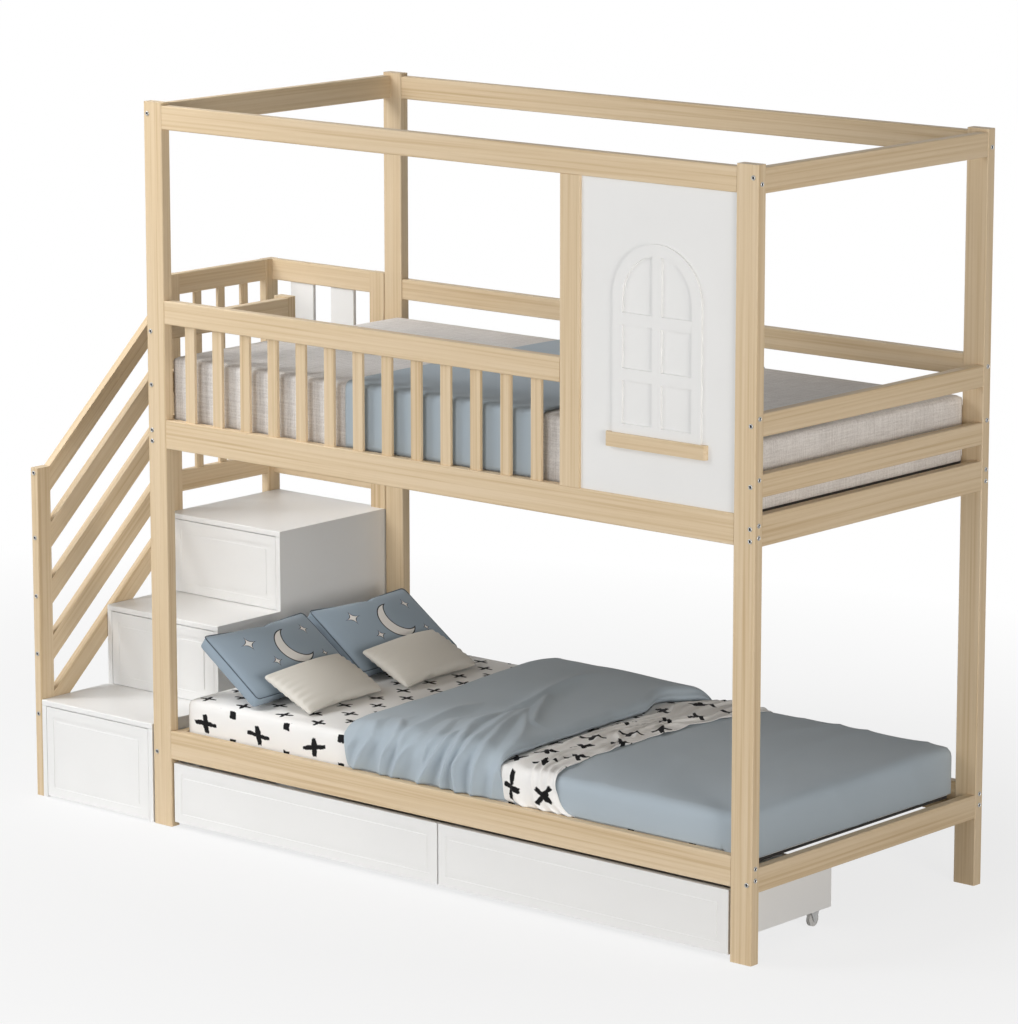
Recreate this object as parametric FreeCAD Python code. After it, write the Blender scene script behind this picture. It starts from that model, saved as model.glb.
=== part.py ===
"""Bunk bed with a canopy frame, a house-front panel, a storage staircase and rolling drawers.

Millimetres, +Z up. X runs along the bed and Y from its front to its back. The staircase stands at
the left end. The origin is on the floor, under the middle of the whole object.
"""
import FreeCAD
import Part
import math
import os

Vector = FreeCAD.Vector
AXIS_X = Vector(1, 0, 0)
AXIS_Y = Vector(0, 1, 0)
AXIS_Z = Vector(0, 0, 1)

# Bed frame
BED_LENGTH = 2064.0
BED_DEPTH = 976.0
POST_HEIGHT = 1980.0
POST_WIDTH = 66.0
POST_DEPTH = 31.0
RAIL_THICKNESS = 27.0
RAIL_SETBACK = 1.0
EDGE_EASE = 2.0
CANOPY_DROP = 8.0
CANOPY_RAIL_HEIGHT = 63.0
SIDE_RAIL_HEIGHT = 78.0
UPPER_RAIL_DROP = 853.0
LOWER_RAIL_TOP = 269.0
LOWER_END_RAIL_DROP = 25.0
LOWER_END_RAIL_HEIGHT = 63.0

# Guards round the upper bunk, measured up from the top of its rails
FRONT_GUARD_RISE = 323.0
FRONT_GUARD_HEIGHT = 63.0
GUARD_HEIGHT = 57.0
BACK_GUARD_RISE = 272.0
BACK_GUARD_PITCH = 139.0
END_GUARD_RISE = 249.0
END_GUARD_PITCH = 149.0
ENTRY_GUARD_RISE = 265.0
ENTRY_GUARD_PITCH = 145.0
ENTRY_GUARD_LENGTH = 489.0
ENTRY_POST_WIDTH = 54.0
ENTRY_POST_DEPTH = 31.0
ENTRY_POST_PROUD = 3.0
SPINDLE_COUNT = 13
SPINDLE_WIDTH = 34.5
SPINDLE_THICKNESS = 10.0

# House-front panel with its window
PANEL_WIDTH = 488.0
PANEL_THICKNESS = 15.0
PANEL_SETBACK = 8.0
PANEL_POST_WIDTH = 65.0
WINDOW_WIDTH = 278.0
WINDOW_FRAME = 30.0
WINDOW_BASE = 24.0
WINDOW_BAR = 28.0
WINDOW_THICKNESS = 6.0
WINDOW_TOP_GAP = 149.0
WINDOW_ARCH_PANE_STRAIGHT = 38.0
SILL_LENGTH = 316.0
SILL_HEIGHT = 36.0
SILL_THICKNESS = 13.0
SILL_RISE = 156.0
SILL_CORNER = 8.0

# Slatted decks and mattresses
DECK_DROP_UPPER = 7.0
DECK_DROP_LOWER = 38.0
SLAT_COUNT = 13
SLAT_WIDTH = 80.0
SLAT_THICKNESS = 15.0
SLAT_SIDE_CLEARANCE = 4.0
LEDGER_WIDTH = 25.0
LEDGER_HEIGHT = 25.0
UPPER_MATTRESS_END_GAP = 28.0
LOWER_MATTRESS_HEAD_GAP = 65.0
LOWER_MATTRESS_FOOT_GAP = 49.0
MATTRESS_SIDE_GAP = 10.0
UPPER_MATTRESS_HEIGHT = 176.0
LOWER_MATTRESS_HEIGHT = 130.0
MATTRESS_CORNER = 20.0
MATTRESS_CROWN = 6.0
SOFT_GAP = 0.3

# Bedding
THROW_START = 638.0
THROW_WIDTH = 668.0
THROW_THICKNESS = 8.0
DUVET_START = 557.0
DUVET_WIDTH = 540.0
DUVET_THICKNESS = 42.0
DUVET_EDGE = 24.0
DUVET_HANG = 18.0
DUVET_EDGE_HANG = 12.0
DUVET_FOLD_DEPTH = 10.0
DUVET_HANG_FOLD = 5.0
DUVET_FOLDS = 3
TURNBACK_WIDTH = 210.0
TURNBACK_THICKNESS = 14.0
BLANKET_THICKNESS = 10.0
HEM_GAP = 1.5
PILLOW_FRONT_MARGIN = 15.0
PILLOW_BACK_MARGIN = 71.0
PILLOW_GAP = 2.0
PILLOW_HEIGHT = 248.0
PILLOW_THICKNESS = 88.0
PILLOW_EDGE = 34.0
PILLOW_DRAW_IN = 4.0
PILLOW_TILT = 35.0
PILLOW_FOOT = 252.0
CUSHION_LENGTH = 322.0
CUSHION_HEIGHT = 172.0
CUSHION_THICKNESS = 74.0
CUSHION_EDGE = 8.0
CUSHION_DRAW_IN = 9.0
CUSHION_TILT = 27.0
CUSHION_TURN = 5.5
CUSHION_OFFSET = 10.0
CUSHION_LEVELS = ((1.0, 0.0), (0.9, 0.28), (0.74, 0.56), (0.5, 0.84), (0.22, 1.0))

# Staircase
STAIR_WIDTH = 432.0
STAIR_SETBACK = 14.0
STAIR_GAP = 5.0
STAIR_BOARD = 16.0
FIRST_STEP_HEIGHT = 277.0
STEP_RISE = 227.0
FIRST_TREAD_DEPTH = 260.0
SECOND_TREAD_DEPTH = 252.0
PLINTH_HEIGHT = 5.0

# Staircase railing
RAILING_THICKNESS = 27.0
RAILING_BOARD = 22.0
RAILING_RAIL_HEIGHT = 60.0
RAILING_POST_DEPTH = 50.0
NEWEL_HEIGHT = 932.0
RAILING_TOP = 1410.0
RAILING_LOWER_TOP = 842.0
MID_POST_INSET = 6.0
CORNER_POST_PROUD = 8.0
RAILING_END_POST_WIDTH = 56.0
SLANT_BAR_COUNT = 5
SLANT_BAR_DEPTH = 70.0
SLANT_BAR_PITCH = 160.0
SLANT_BAR_SLOPE = 0.9
SIDE_SPINDLE_COUNT = 3
SIDE_SPINDLE_WIDTH = 28.0
BACK_SLAT_COUNT = 2
BACK_SLAT_WIDTH = 90.0
BACK_SLAT_THICKNESS = 12.0

# Drawers
DRAWER_FRONT_THICKNESS = 16.0
DRAWER_SETBACK = 4.0
DRAWER_SIDE_GAP = 8.0
DRAWER_SEAM = 5.0
DRAWER_RAIL_GAP = 11.0
DRAWER_FLOOR_GAP = 15.0
DRAWER_DEPTH = 405.0
TRAY_BOARD = 12.0
TRAY_BASE = 8.0
TRAY_TOP_DROP = 22.0
ROUTED_INSET = 26.0
ROUTED_WIDTH = 12.0
ROUTED_DEPTH = 1.5
STAIR_DRAWER_GAP = 1.5
STAIR_DRAWER_BACK_GAP = 16.0
STAIR_TRAY_HEIGHT = 150.0
STAIR_TRAY_CLEARANCE = 6.0
STAIR_DRAWER_SETBACK = 0.5
RUNNING_GAP = 0.3

# Casters
WHEEL_RADIUS = 19.0
WHEEL_WIDTH = 13.0
WHEEL_HUB_RADIUS = 8.0
WHEEL_RECESS = 1.5
AXLE_RADIUS = 3.0
AXLE_CLEARANCE = 0.08
FORK_PLATE = 3.0
FORK_CHEEK = 2.5
FORK_GAP = 1.0
FORK_TOP_GAP = 4.7
FORK_LENGTH = 34.0
FORK_EYE_RADIUS = 7.0
CASTER_INSET = 24.0
CASTER_FRONT_INSET = 70.0
CASTER_BACK_INSET = 46.0

# Places worked out from the sizes above
TOTAL_LENGTH = RAILING_THICKNESS + STAIR_WIDTH + STAIR_GAP + BED_LENGTH
SILL_PROUD = max(SILL_THICKNESS - PANEL_SETBACK, 0.0)
TOTAL_DEPTH = SILL_PROUD + BED_DEPTH
LEFT = -TOTAL_LENGTH / 2 + RAILING_THICKNESS + STAIR_WIDTH + STAIR_GAP
RIGHT = LEFT + BED_LENGTH
FRONT = -TOTAL_DEPTH / 2 + SILL_PROUD
BACK = FRONT + BED_DEPTH
INNER_LEFT = LEFT + POST_WIDTH
INNER_RIGHT = RIGHT - POST_WIDTH
INNER_FRONT = FRONT + POST_DEPTH
INNER_BACK = BACK - POST_DEPTH
MIDDLE_X = (LEFT + RIGHT) / 2
MIDDLE_Y = (FRONT + BACK) / 2
CANOPY_TOP = POST_HEIGHT - CANOPY_DROP
CANOPY_BOTTOM = CANOPY_TOP - CANOPY_RAIL_HEIGHT
UPPER_RAIL_TOP = POST_HEIGHT - UPPER_RAIL_DROP
LOWER_RAIL_BOTTOM = LOWER_RAIL_TOP - SIDE_RAIL_HEIGHT
LOWER_END_TOP = LOWER_RAIL_TOP - LOWER_END_RAIL_DROP
UPPER_DECK = UPPER_RAIL_TOP - DECK_DROP_UPPER
LOWER_DECK = LOWER_RAIL_TOP - DECK_DROP_LOWER
FRONT_GUARD_TOP = UPPER_RAIL_TOP + FRONT_GUARD_RISE
FRONT_RAIL_SPAN = (FRONT + RAIL_SETBACK, FRONT + RAIL_SETBACK + RAIL_THICKNESS)
BACK_RAIL_SPAN = (BACK - RAIL_SETBACK - RAIL_THICKNESS, BACK - RAIL_SETBACK)
LEFT_RAIL_SPAN = (LEFT + RAIL_SETBACK, LEFT + RAIL_SETBACK + RAIL_THICKNESS)
RIGHT_RAIL_SPAN = (RIGHT - RAIL_SETBACK - RAIL_THICKNESS, RIGHT - RAIL_SETBACK)
LONG_SPAN = (INNER_LEFT, INNER_RIGHT)
CROSS_SPAN = (INNER_FRONT, INNER_BACK)
PANEL_LEFT = INNER_RIGHT - PANEL_WIDTH
PANEL_POST_LEFT = PANEL_LEFT - PANEL_POST_WIDTH
PANEL_FACE = FRONT + PANEL_SETBACK
MATTRESS_WIDTH = BACK_RAIL_SPAN[0] - FRONT_RAIL_SPAN[1] - 2 * MATTRESS_SIDE_GAP
RAIL_INSIDE = (LEFT_RAIL_SPAN[1], RIGHT_RAIL_SPAN[0])
UPPER_MATTRESS_SPAN = (RAIL_INSIDE[0] + UPPER_MATTRESS_END_GAP, RAIL_INSIDE[1] - UPPER_MATTRESS_END_GAP)
LOWER_MATTRESS_SPAN = (RAIL_INSIDE[0] + LOWER_MATTRESS_HEAD_GAP, RAIL_INSIDE[1] - LOWER_MATTRESS_FOOT_GAP)
MATTRESS_FRONT = FRONT_RAIL_SPAN[1] + MATTRESS_SIDE_GAP
PILLOW_LENGTH = (MATTRESS_WIDTH - PILLOW_FRONT_MARGIN - PILLOW_BACK_MARGIN - PILLOW_GAP) / 2
FRONT_PILLOW_MIDDLE = MATTRESS_FRONT + PILLOW_FRONT_MARGIN + PILLOW_LENGTH / 2
PILLOW_MIDDLES = (FRONT_PILLOW_MIDDLE, FRONT_PILLOW_MIDDLE + PILLOW_LENGTH + PILLOW_GAP)
ENTRY_POST_START = INNER_FRONT + ENTRY_GUARD_LENGTH
STAIR_RIGHT = LEFT - STAIR_GAP
STAIR_LEFT = STAIR_RIGHT - STAIR_WIDTH
RAILING_LEFT = STAIR_LEFT - RAILING_THICKNESS
RAILING_SPAN = (RAILING_LEFT, STAIR_LEFT)
RAILING_CENTRE = (RAILING_LEFT + STAIR_LEFT) / 2
STEP_TOPS = [FIRST_STEP_HEIGHT + STEP_RISE * step for step in range(3)]
STEP_FRONTS = [FRONT, FRONT + FIRST_TREAD_DEPTH, FRONT + FIRST_TREAD_DEPTH + SECOND_TREAD_DEPTH]
STAIR_BACK = BACK - STAIR_SETBACK
STAIR_DRAWER_INSET = STAIR_DRAWER_SETBACK + DRAWER_FRONT_THICKNESS
STAIR_DRAWER_END = STAIR_BACK - STAIR_BOARD - STAIR_DRAWER_BACK_GAP
STAIR_DRAWER_DEPTH = STAIR_DRAWER_END - STEP_FRONTS[2] - STAIR_DRAWER_INSET
MID_POST_START = STEP_FRONTS[2] + MID_POST_INSET
MID_POST_SPAN = (MID_POST_START, MID_POST_START + RAILING_POST_DEPTH)
CORNER_POST_BACK = STAIR_BACK + CORNER_POST_PROUD
CORNER_POST_SPAN = (CORNER_POST_BACK - RAILING_POST_DEPTH, CORNER_POST_BACK)
RAILING_BACK_SPAN = (CORNER_POST_SPAN[1] - RAILING_THICKNESS, CORNER_POST_SPAN[1])
RAILING_END_SPAN = (LEFT - RAILING_END_POST_WIDTH, LEFT)
DRAWER_FRONT_TOP = LOWER_RAIL_BOTTOM - DRAWER_RAIL_GAP
AXLE_HEIGHT = RUNNING_GAP + WHEEL_RADIUS
TRAY_FLOOR_GAP = AXLE_HEIGHT + WHEEL_RADIUS + FORK_TOP_GAP + FORK_PLATE


def block(x, y, z):
    """A box between three pairs of coordinates."""
    return Part.makeBox(x[1] - x[0], y[1] - y[0], z[1] - z[0], Vector(x[0], y[0], z[0]))


def board(axis, x, y, z, ease=EDGE_EASE):
    """A straight board whose four edges along the axis are eased."""
    solid = block(x, y, z)
    long_edges = [edge for edge in solid.Edges if abs(edge.tangentAt(edge.FirstParameter).dot(axis)) > 0.5]
    return solid.makeChamfer(ease, long_edges)


def below(top, height):
    """The span of a piece with the given top and height."""
    return (top - height, top)


def centred(middle, width):
    """The span of a piece about its middle."""
    return (middle - width / 2, middle + width / 2)


def even_spans(start, end, count, width):
    """Spans of equal pieces with equal gaps between two faces."""
    gap = (end - start - count * width) / (count + 1)
    starts = [start + gap + index * (width + gap) for index in range(count)]
    return [(begin, begin + width) for begin in starts]


def polygon_face(points):
    """A flat face inside a closed run of straight edges."""
    return Part.Face(Part.makePolygon(points + points[:1]))


def end_guard_tops():
    """Tops of the two guards at the right end."""
    return [UPPER_RAIL_TOP + END_GUARD_RISE - END_GUARD_PITCH * index for index in range(2)]


def back_guard_tops():
    """Tops of the two guards along the back."""
    return [UPPER_RAIL_TOP + BACK_GUARD_RISE - BACK_GUARD_PITCH * index for index in range(2)]


def entry_guard_tops():
    """Tops of the two short guards beside the way in from the stairs."""
    return [UPPER_RAIL_TOP + ENTRY_GUARD_RISE - ENTRY_GUARD_PITCH * index for index in range(2)]


def slant_bar_tops():
    """Heights of the slanted bars' top edges where they meet the newel post."""
    return [NEWEL_HEIGHT - SLANT_BAR_PITCH * index for index in range(SLANT_BAR_COUNT)]


def bed_posts():
    """The four corner posts, which run from the floor to above the canopy."""
    posts = {}
    for side, x in (("left", (LEFT, INNER_LEFT)), ("right", (INNER_RIGHT, RIGHT))):
        for face, y in (("front", (FRONT, INNER_FRONT)), ("back", (INNER_BACK, BACK))):
            posts[f"{face}_{side}_post"] = [board(AXIS_Z, x, y, (0, POST_HEIGHT))]
    return posts


def bed_rails():
    """Canopy, upper and lower rails between the posts."""
    levels = (
        ("canopy", below(CANOPY_TOP, CANOPY_RAIL_HEIGHT), below(CANOPY_TOP, CANOPY_RAIL_HEIGHT)),
        ("upper", below(UPPER_RAIL_TOP, SIDE_RAIL_HEIGHT), below(UPPER_RAIL_TOP, SIDE_RAIL_HEIGHT)),
        ("lower", below(LOWER_RAIL_TOP, SIDE_RAIL_HEIGHT), below(LOWER_END_TOP, LOWER_END_RAIL_HEIGHT)),
    )
    rails = {}
    for level, long_z, end_z in levels:
        rails[f"{level}_front_rail"] = [board(AXIS_X, LONG_SPAN, FRONT_RAIL_SPAN, long_z)]
        rails[f"{level}_back_rail"] = [board(AXIS_X, LONG_SPAN, BACK_RAIL_SPAN, long_z)]
        rails[f"{level}_end_rails"] = [
            board(AXIS_Y, x, CROSS_SPAN, end_z) for x in (LEFT_RAIL_SPAN, RIGHT_RAIL_SPAN)
        ]
    return rails


def guards():
    """Guards that keep the sleeper in the upper bunk, with a gap at the top of the stairs."""
    guard_z = below(FRONT_GUARD_TOP, FRONT_GUARD_HEIGHT)
    front_rail = board(AXIS_X, (INNER_LEFT, PANEL_POST_LEFT), FRONT_RAIL_SPAN, guard_z)
    spindle_y = centred(sum(FRONT_RAIL_SPAN) / 2, SPINDLE_THICKNESS)
    spindle_z = (UPPER_RAIL_TOP, guard_z[0])
    spindle_x = even_spans(INNER_LEFT, PANEL_POST_LEFT, SPINDLE_COUNT, SPINDLE_WIDTH)
    back_rails = [
        board(AXIS_X, LONG_SPAN, BACK_RAIL_SPAN, below(top, GUARD_HEIGHT)) for top in back_guard_tops()
    ]
    end_rails = [
        board(AXIS_Y, RIGHT_RAIL_SPAN, CROSS_SPAN, below(top, GUARD_HEIGHT)) for top in end_guard_tops()
    ]
    entry_y = (INNER_FRONT, ENTRY_POST_START)
    entry_rails = [
        board(AXIS_Y, LEFT_RAIL_SPAN, entry_y, below(top, GUARD_HEIGHT)) for top in entry_guard_tops()
    ]
    entry_post = board(
        AXIS_Z,
        (LEFT_RAIL_SPAN[1] - ENTRY_POST_WIDTH, LEFT_RAIL_SPAN[1]),
        (ENTRY_POST_START, ENTRY_POST_START + ENTRY_POST_DEPTH),
        (UPPER_RAIL_TOP, entry_guard_tops()[0] + ENTRY_POST_PROUD),
    )
    return {
        "front_guard_rail": [front_rail],
        "front_guard_spindles": [
            board(AXIS_Z, x, spindle_y, spindle_z, EDGE_EASE / 2) for x in spindle_x
        ],
        "back_guard_rails": [rail for rail in back_rails],
        "end_guard_rails": [rail for rail in end_rails],
        "entry_guard_rails": [rail for rail in entry_rails],
        "entry_guard_post": [entry_post],
    }


def arched_face(middle, half_width, bottom, spring, y):
    """A flat upright face with straight sides and a half-round top."""
    left = middle - half_width
    right = middle + half_width
    places = [(left, spring), (left, bottom), (right, bottom), (right, spring)]
    corners = [Vector(x, y, z) for x, z in places]
    arch = Part.Arc(corners[3], Vector(middle, y, spring + half_width), corners[0]).toShape()
    sides = [Part.makeLine(corners[index], corners[index + 1]) for index in range(3)]
    return Part.Face(Part.Wire(sides + [arch]))


def house_front():
    """White panel with its post, the arched window trim on it and the wooden sill."""
    panel_z = (UPPER_RAIL_TOP, CANOPY_BOTTOM)
    post_x = (PANEL_POST_LEFT, PANEL_LEFT)
    panel = block((PANEL_LEFT, INNER_RIGHT), (PANEL_FACE, PANEL_FACE + PANEL_THICKNESS), panel_z)
    middle = (PANEL_LEFT + INNER_RIGHT) / 2
    sill_top = UPPER_RAIL_TOP + SILL_RISE
    trim_face = PANEL_FACE - WINDOW_THICKNESS
    half = WINDOW_WIDTH / 2
    first_pane = sill_top + WINDOW_BASE
    spring = CANOPY_BOTTOM - WINDOW_TOP_GAP - half
    pane_step = (spring - WINDOW_ARCH_PANE_STRAIGHT - first_pane) / 2
    outline = arched_face(middle, half, sill_top, spring, trim_face)
    glazing = arched_face(middle, half - WINDOW_FRAME, first_pane, spring, trim_face)
    bars = [block(centred(middle, WINDOW_BAR), centred(trim_face, WINDOW_BAR), (sill_top, spring + half))]
    for index in (1, 2):
        bar_z = below(first_pane + index * pane_step, WINDOW_FRAME)
        bars.append(block(centred(middle, WINDOW_WIDTH), centred(trim_face, WINDOW_BAR), bar_z))
    trim = outline.cut(glazing.cut(bars)).Faces[0].extrude(AXIS_Y * WINDOW_THICKNESS)
    sill = sill_board(middle, (sill_top - SILL_HEIGHT, sill_top))
    return {
        "panel_post": [board(AXIS_Z, post_x, FRONT_RAIL_SPAN, panel_z)],
        "house_panel": [panel],
        "window_trim": [trim],
        "window_sill": [sill],
    }


def sill_board(middle, z):
    """The window sill, with its two front upright edges rounded."""
    solid = block(centred(middle, SILL_LENGTH), (PANEL_FACE - SILL_THICKNESS, PANEL_FACE), z)
    front_edges = [
        edge
        for edge in solid.Edges
        if abs(edge.CenterOfMass.y - solid.BoundBox.YMin) < EDGE_EASE / 2
        and abs(edge.tangentAt(edge.FirstParameter).dot(AXIS_Z)) > 0.5
    ]
    return solid.makeFillet(min(SILL_CORNER, 0.9 * SILL_THICKNESS), front_edges)


def decks():
    """Ledgers along the long rails, and the slats that lie on them."""
    ledgers = []
    slats = {}
    slat_x = even_spans(INNER_LEFT, INNER_RIGHT, SLAT_COUNT, SLAT_WIDTH)
    slat_y = (FRONT_RAIL_SPAN[1] + SLAT_SIDE_CLEARANCE, BACK_RAIL_SPAN[0] - SLAT_SIDE_CLEARANCE)
    for level, deck in (("upper", UPPER_DECK), ("lower", LOWER_DECK)):
        ledger_z = below(deck - SLAT_THICKNESS, LEDGER_HEIGHT)
        front_y = (FRONT_RAIL_SPAN[1], FRONT_RAIL_SPAN[1] + LEDGER_WIDTH)
        back_y = (BACK_RAIL_SPAN[0] - LEDGER_WIDTH, BACK_RAIL_SPAN[0])
        ledgers += [block(LONG_SPAN, y, ledger_z) for y in (front_y, back_y)]
        slats[f"{level}_slats"] = [block(x, slat_y, below(deck, SLAT_THICKNESS)) for x in slat_x]
    return {"slat_ledgers": ledgers, **slats}


def arc(start, middle, end):
    """A round edge through three points."""
    return Part.Arc(start, middle, end).toShape()


def rounded_section(x, y, z, corner, crown):
    """A closed section across X: a flat foot, upright sides, round corners and a crowned top."""
    offset = corner * (1 - math.sqrt(0.5))
    flat_y = (y[0] + corner, y[1] - corner)
    flat_z = (z[0] + corner, z[1] - corner)
    points = [
        (flat_y[0], z[0]), (flat_y[1], z[0]),
        (y[1] - offset, z[0] + offset), (y[1], flat_z[0]), (y[1], flat_z[1]),
        (y[1] - offset, z[1] - offset), (flat_y[1], z[1]),
        (sum(y) / 2, z[1] + crown), (flat_y[0], z[1]),
        (y[0] + offset, z[1] - offset), (y[0], flat_z[1]), (y[0], flat_z[0]),
        (y[0] + offset, z[0] + offset),
    ]
    at = [Vector(x, across, up) for across, up in points]
    edges = [
        Part.makeLine(at[0], at[1]),
        arc(at[1], at[2], at[3]),
        Part.makeLine(at[3], at[4]),
        arc(at[4], at[5], at[6]),
        arc(at[6], at[7], at[8]),
        arc(at[8], at[9], at[10]),
        Part.makeLine(at[10], at[11]),
        arc(at[11], at[12], at[0]),
    ]
    return Part.Wire(edges)


def rounded_end():
    """Steps round a quarter circle at a mattress end: distance from the end and inset of the section."""
    quarter = [math.radians(angle) for angle in (12, 50, 90)]
    return [(MATTRESS_CORNER * (1 - math.cos(a)), MATTRESS_CORNER * (1 - math.sin(a))) for a in quarter]


def mattress(span, deck, height, grow=0.0):
    """A mattress on its deck, crowned and rounded at every edge; grow swells it for cutting covers."""
    x = (span[0] - grow, span[1] + grow)
    y = (MATTRESS_FRONT - grow, MATTRESS_FRONT + MATTRESS_WIDTH + grow)
    z = (deck + SOFT_GAP - grow, deck + SOFT_GAP + height - MATTRESS_CROWN + grow)
    ends = rounded_end()
    stations = [(x[0] + along, inset) for along, inset in ends]
    stations += [(x[1] - along, inset) for along, inset in reversed(ends)]
    sections = []
    for place, inset in stations:
        section_y = (y[0] + inset, y[1] - inset)
        section_z = (z[0] + inset, z[1] - inset)
        corner = MATTRESS_CORNER - inset
        sections.append(rounded_section(place, section_y, section_z, corner, MATTRESS_CROWN))
    return Part.makeLoft(sections, True, True)


def draped_section(x, hem, shoulder, lift, out):
    """A closed section of a cover over a mattress: straight sides, round shoulders and a crowned top."""
    y = (MATTRESS_FRONT - out, MATTRESS_FRONT + MATTRESS_WIDTH + out)
    top = shoulder + lift
    corner = MATTRESS_CORNER + out
    offset = corner * (1 - math.sqrt(0.5))
    points = [
        (y[0], hem), (y[1], hem), (y[1], top - corner),
        (y[1] - offset, top - offset), (y[1] - corner, top),
        (sum(y) / 2, top + MATTRESS_CROWN), (y[0] + corner, top),
        (y[0] + offset, top - offset), (y[0], top - corner),
    ]
    at = [Vector(x, across, up) for across, up in points]
    edges = [
        Part.makeLine(at[0], at[1]),
        Part.makeLine(at[1], at[2]),
        arc(at[2], at[3], at[4]),
        arc(at[4], at[5], at[6]),
        arc(at[6], at[7], at[8]),
        Part.makeLine(at[8], at[0]),
    ]
    return Part.Wire(edges)


def flat_cover(x, hem, shoulder, thickness):
    """The outside of a cover that lies smooth across a mattress."""
    sections = [draped_section(place, hem, shoulder, thickness, thickness) for place in x]
    return Part.makeLoft(sections, True, True)


def folded_cover(x, hem, shoulder):
    """The outside of the duvet: its folds swell and sink along the bed, and it thins at both edges."""
    steps = 4 * DUVET_FOLDS
    sections = []
    for index in range(steps + 1):
        share = index / steps
        fullness = math.sin(math.pi * share) ** 0.4 if 0 < index < steps else 0.0
        wave = fullness * math.sin(2 * math.pi * DUVET_FOLDS * share)
        lift = DUVET_EDGE + (DUVET_THICKNESS - DUVET_EDGE) * fullness + DUVET_FOLD_DEPTH * wave / 2
        out = DUVET_EDGE_HANG + (DUVET_HANG - DUVET_EDGE_HANG) * fullness + DUVET_HANG_FOLD * wave / 2
        sections.append(draped_section(x[0] + (x[1] - x[0]) * share, hem, shoulder, lift, out))
    return Part.makeLoft(sections, True, True)


def end_cover(start, hem, end_hem, shoulder):
    """The outside of the blanket at the foot: it wraps the mattress end and hangs lower there."""
    end = LOWER_MATTRESS_SPAN[1] + BLANKET_THICKNESS
    stations = [(start, 0.0)] + [(end - along, inset) for along, inset in reversed(rounded_end())]
    sections = [
        draped_section(place, hem, shoulder, BLANKET_THICKNESS - inset, BLANKET_THICKNESS - inset)
        for place, inset in stations
    ]
    flap_y = (MATTRESS_FRONT + MATTRESS_CORNER, MATTRESS_FRONT + MATTRESS_WIDTH - MATTRESS_CORNER)
    flap = block((end - BLANKET_THICKNESS, end), flap_y, (end_hem, shoulder - MATTRESS_CORNER))
    return Part.makeLoft(sections, True, True).fuse(flap)


def pillow_outline(length, height, draw_in):
    """Corners of a cushion's outline, whose four sides bow inwards."""
    shares = (-1.0, -0.5, 0.0, 0.5)
    bows = [draw_in * (1 - share * share) for share in shares]
    tall = height / 2
    long = length / 2
    sides = list(zip(shares, bows))
    corners = [(tall - bow, share * long) for share, bow in sides]
    corners += [(-share * tall, long - bow) for share, bow in sides]
    corners += [(bow - tall, -share * long) for share, bow in sides]
    corners += [(share * tall, bow - long) for share, bow in sides]
    return corners


def pillow_form(length, height, thickness, edge, draw_in):
    """A stuffed cushion across Y: its outline shrinks, level by level, towards the crown of each face."""
    outline = pillow_outline(length, height, draw_in)
    swell = (thickness - edge) / 2
    upper = [(share, edge / 2 + swell * rise) for share, rise in CUSHION_LEVELS]
    levels = [(share, -z) for share, z in reversed(upper)] + upper
    rings = [[Vector(share * x, share * y, z) for x, y in outline] for share, z in levels]
    faces = [polygon_face(rings[0]), polygon_face(rings[-1])]
    for low, high in zip(rings, rings[1:]):
        for index in range(len(outline)):
            faces.append(polygon_face([low[index - 1], low[index], high[index], high[index - 1]]))
    return Part.makeSolid(Part.makeShell(faces))


def leant(form, tilt, turn):
    """The cushion tilted up towards the left and turned a little."""
    tilted = form.copy()
    tilted.rotate(Vector(0, 0, 0), AXIS_Y, 180.0 + tilt)
    tilted.rotate(Vector(0, 0, 0), AXIS_Z, turn)
    return tilted


def rested(form, direction, support):
    """The form moved one way until it all but touches its support."""
    placed = form.copy()
    gap = placed.distToShape(support)[0] - SOFT_GAP
    while gap > SOFT_GAP / 4:
        placed.translate(direction * gap)
        gap = placed.distToShape(support)[0] - SOFT_GAP
    return placed


def on_mattress(form, foot_x, y, support):
    """The leant form set down on the mattress with its foot at one place along the bed."""
    box = form.optimalBoundingBox()
    start = support.BoundBox.ZMax + 2 * SOFT_GAP
    placed = form.copy()
    placed.translate(Vector(foot_x - box.XMax, y, start - box.ZMin))
    return rested(placed, -AXIS_Z, support)


def pillows_and_cushions(support):
    """Two pillows leant on the mattress, and a lumbar cushion against each."""
    pillow = leant(
        pillow_form(PILLOW_LENGTH, PILLOW_HEIGHT, PILLOW_THICKNESS, PILLOW_EDGE, PILLOW_DRAW_IN),
        PILLOW_TILT,
        0.0,
    )
    cushion = leant(
        pillow_form(CUSHION_LENGTH, CUSHION_HEIGHT, CUSHION_THICKNESS, CUSHION_EDGE, CUSHION_DRAW_IN),
        CUSHION_TILT,
        CUSHION_TURN,
    )
    pillow_x = LOWER_MATTRESS_SPAN[0] + PILLOW_FOOT
    clear_x = pillow_x + cushion.optimalBoundingBox().XLength + SOFT_GAP
    pillows = [on_mattress(pillow, pillow_x, middle, support) for middle in PILLOW_MIDDLES]
    cushions = []
    for middle in PILLOW_MIDDLES:
        placed = on_mattress(cushion, clear_x, middle - CUSHION_OFFSET, support)
        cushions.append(rested(placed, -AXIS_X, Part.makeCompound(pillows)))
    return {"pillows": pillows, "lumbar_cushions": cushions}


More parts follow.
